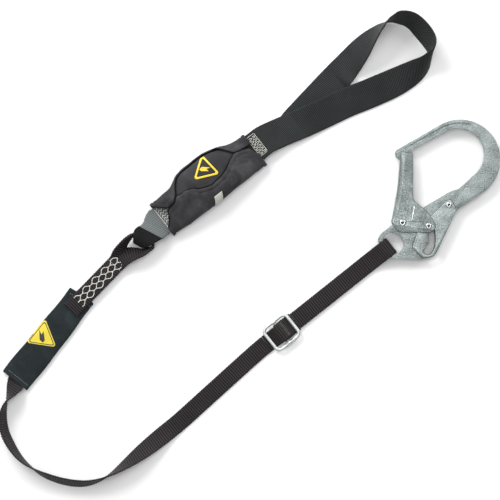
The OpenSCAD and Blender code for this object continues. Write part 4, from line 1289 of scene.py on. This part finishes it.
# Near-black paint for the shade in each head's hollow.
hollow_shade = metal("shade painted in the rivet hollow", (0.012, 0.012, 0.012), 0.4, mottle=0.3, metallic=0.0)
spring = metal("spring wire", (0.4, 0.42, 0.42), 0.3, pits=0.00002, mottle=0.2)


def rivet_head(name, node, at, radius, base, body):
    """Both domed heads of a rivet, turned from one profile, with the shank's own length between."""
    profile = [(0, 0.3), (0.2, 0.32), (0.36, 0.4), (0.42, 1.0), (0.5, 1.25), (0.64, 1.3),
               (0.8, 1.08), (0.94, 0.62), (1.0, 0.1), (1.0, -0.1)]
    points, faces, hollow = [], [], []
    turns = RIVET_TURNS
    for side in (1, -1):
        first = len(points)
        points.append((at[0], at[1], side * (base + profile[0][1])))
        for r, z in profile[1:]:
            for k in range(turns):
                a = 2 * math.pi * k / turns
                points.append((at[0] + r * radius * math.cos(a), at[1] + r * radius * math.sin(a),
                               side * (base + z)))
        hollow += list(range(len(faces), len(faces) + 3 * turns))
        faces += [(first, first + 1 + k, first + 1 + (k + 1) % turns) for k in range(turns)]
        for i in range(len(profile) - 2):
            for k in range(turns):
                a, b = first + 1 + i * turns + k, first + 1 + i * turns + (k + 1) % turns
                faces.append((a, a + turns, b + turns, b))
        faces.append(tuple(first + 1 + (len(profile) - 2) * turns + k for k in range(turns)))
    shank = len(points)
    for z in (base, -base):
        for k in range(turns):
            a = 2 * math.pi * k / turns
            points.append((at[0] + SHANK_RADIUS * math.cos(a), at[1] + SHANK_RADIUS * math.sin(a),
                           z))
    faces += [(shank + k, shank + (k + 1) % turns, shank + turns + (k + 1) % turns,
               shank + turns + k) for k in range(turns)]
    faces += [tuple(first + k for k in range(turns)) for first in (shank, shank + turns)]
    piece = mesh_of(name, on_hook(points), faces)
    piece.data.materials.append(bright)
    piece.data.materials.append(hollow_shade)
    # The hollow's faces take the near-black painted shade.
    for face in hollow:
        piece.data.polygons[face].material_index = 1
    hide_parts(node)
    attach(piece, body)


rivet_head("gate_rivet_steel", "gate_rivet", (13.3, 29.3), 4.6, 8.5, "hook")
rivet_head("lock_rivet_steel", "lock_rivet", (49.8, 24.8), 4.3, 8.4, "gate")
rivet_head("lever_rivet_steel", "lever_rivet", (78.1, 54.3), 4.2, 6.45, "hook")
finish_node("gate_spacers", zinc)
finish_node("gate_spring", spring)
finish_node("lever_spring", spring)

# ---- Surface and light ----
# A plain pale floor under four large soft panels. The surround is brighter towards the key light,
# so that the flat metal has something to reflect.
bpy.ops.mesh.primitive_plane_add(size=8, location=(0, 0, -0.0002))
floor = bpy.context.object
floor.name = "floor"
floor_material, _, floor_shader = new_material("pale floor")
floor_shader.inputs["Base Color"].default_value = (0.93, 0.93, 0.93, 1)
floor_shader.inputs["Roughness"].default_value = 0.9
floor_shader.inputs["Specular IOR Level"].default_value = 0.1
floor.data.materials.append(floor_material)


def panel_light(name, place, aim, size, power):
    data = bpy.data.lights.new(name, "AREA")
    data.shape = "RECTANGLE"
    data.size, data.size_y = size
    data.energy = power
    lamp = linked(name, data)
    lamp.location = place
    lamp.rotation_euler = (Vector(aim) - Vector(place)).to_track_quat("-Z", "Y").to_euler()


panel_light("key", (-1.8, 2.4, 2.3), (0, -0.05, 0), (2.2, 1.7), 118)
panel_light("top", (-0.2, 0.3, 5.2), (0, -0.05, 0), (2.6, 2.6), 70)
panel_light("back", (2.2, 1.9, 2.0), (0, -0.05, 0), (1.6, 1.4), 44)
panel_light("front", (0.4, -3.0, 2.2), (0, -0.05, 0), (2.2, 1.4), 20)
world = bpy.data.worlds.new("studio")
world.use_nodes = True
world_tree = world.node_tree
toward = add(world_tree, "ShaderNodeVectorMath", {
    0: add(world_tree, "ShaderNodeTexCoord").outputs["Generated"], 1: (-0.55, 0.72, 0.42)},
    operation="DOT_PRODUCT").outputs["Value"]
glow = add(world_tree, "ShaderNodeMapRange", {
    "Value": toward, "From Min": -0.25, "From Max": 0.95, "To Min": 0.03,
    "To Max": 0.85}).outputs[0]
world_tree.links.new(glow, world_tree.nodes["Background"].inputs["Strength"])
world_tree.nodes["Background"].inputs["Color"].default_value = (1, 1, 1, 1)
bpy.context.scene.world = world
bpy.context.scene.view_settings.view_transform = "Standard"
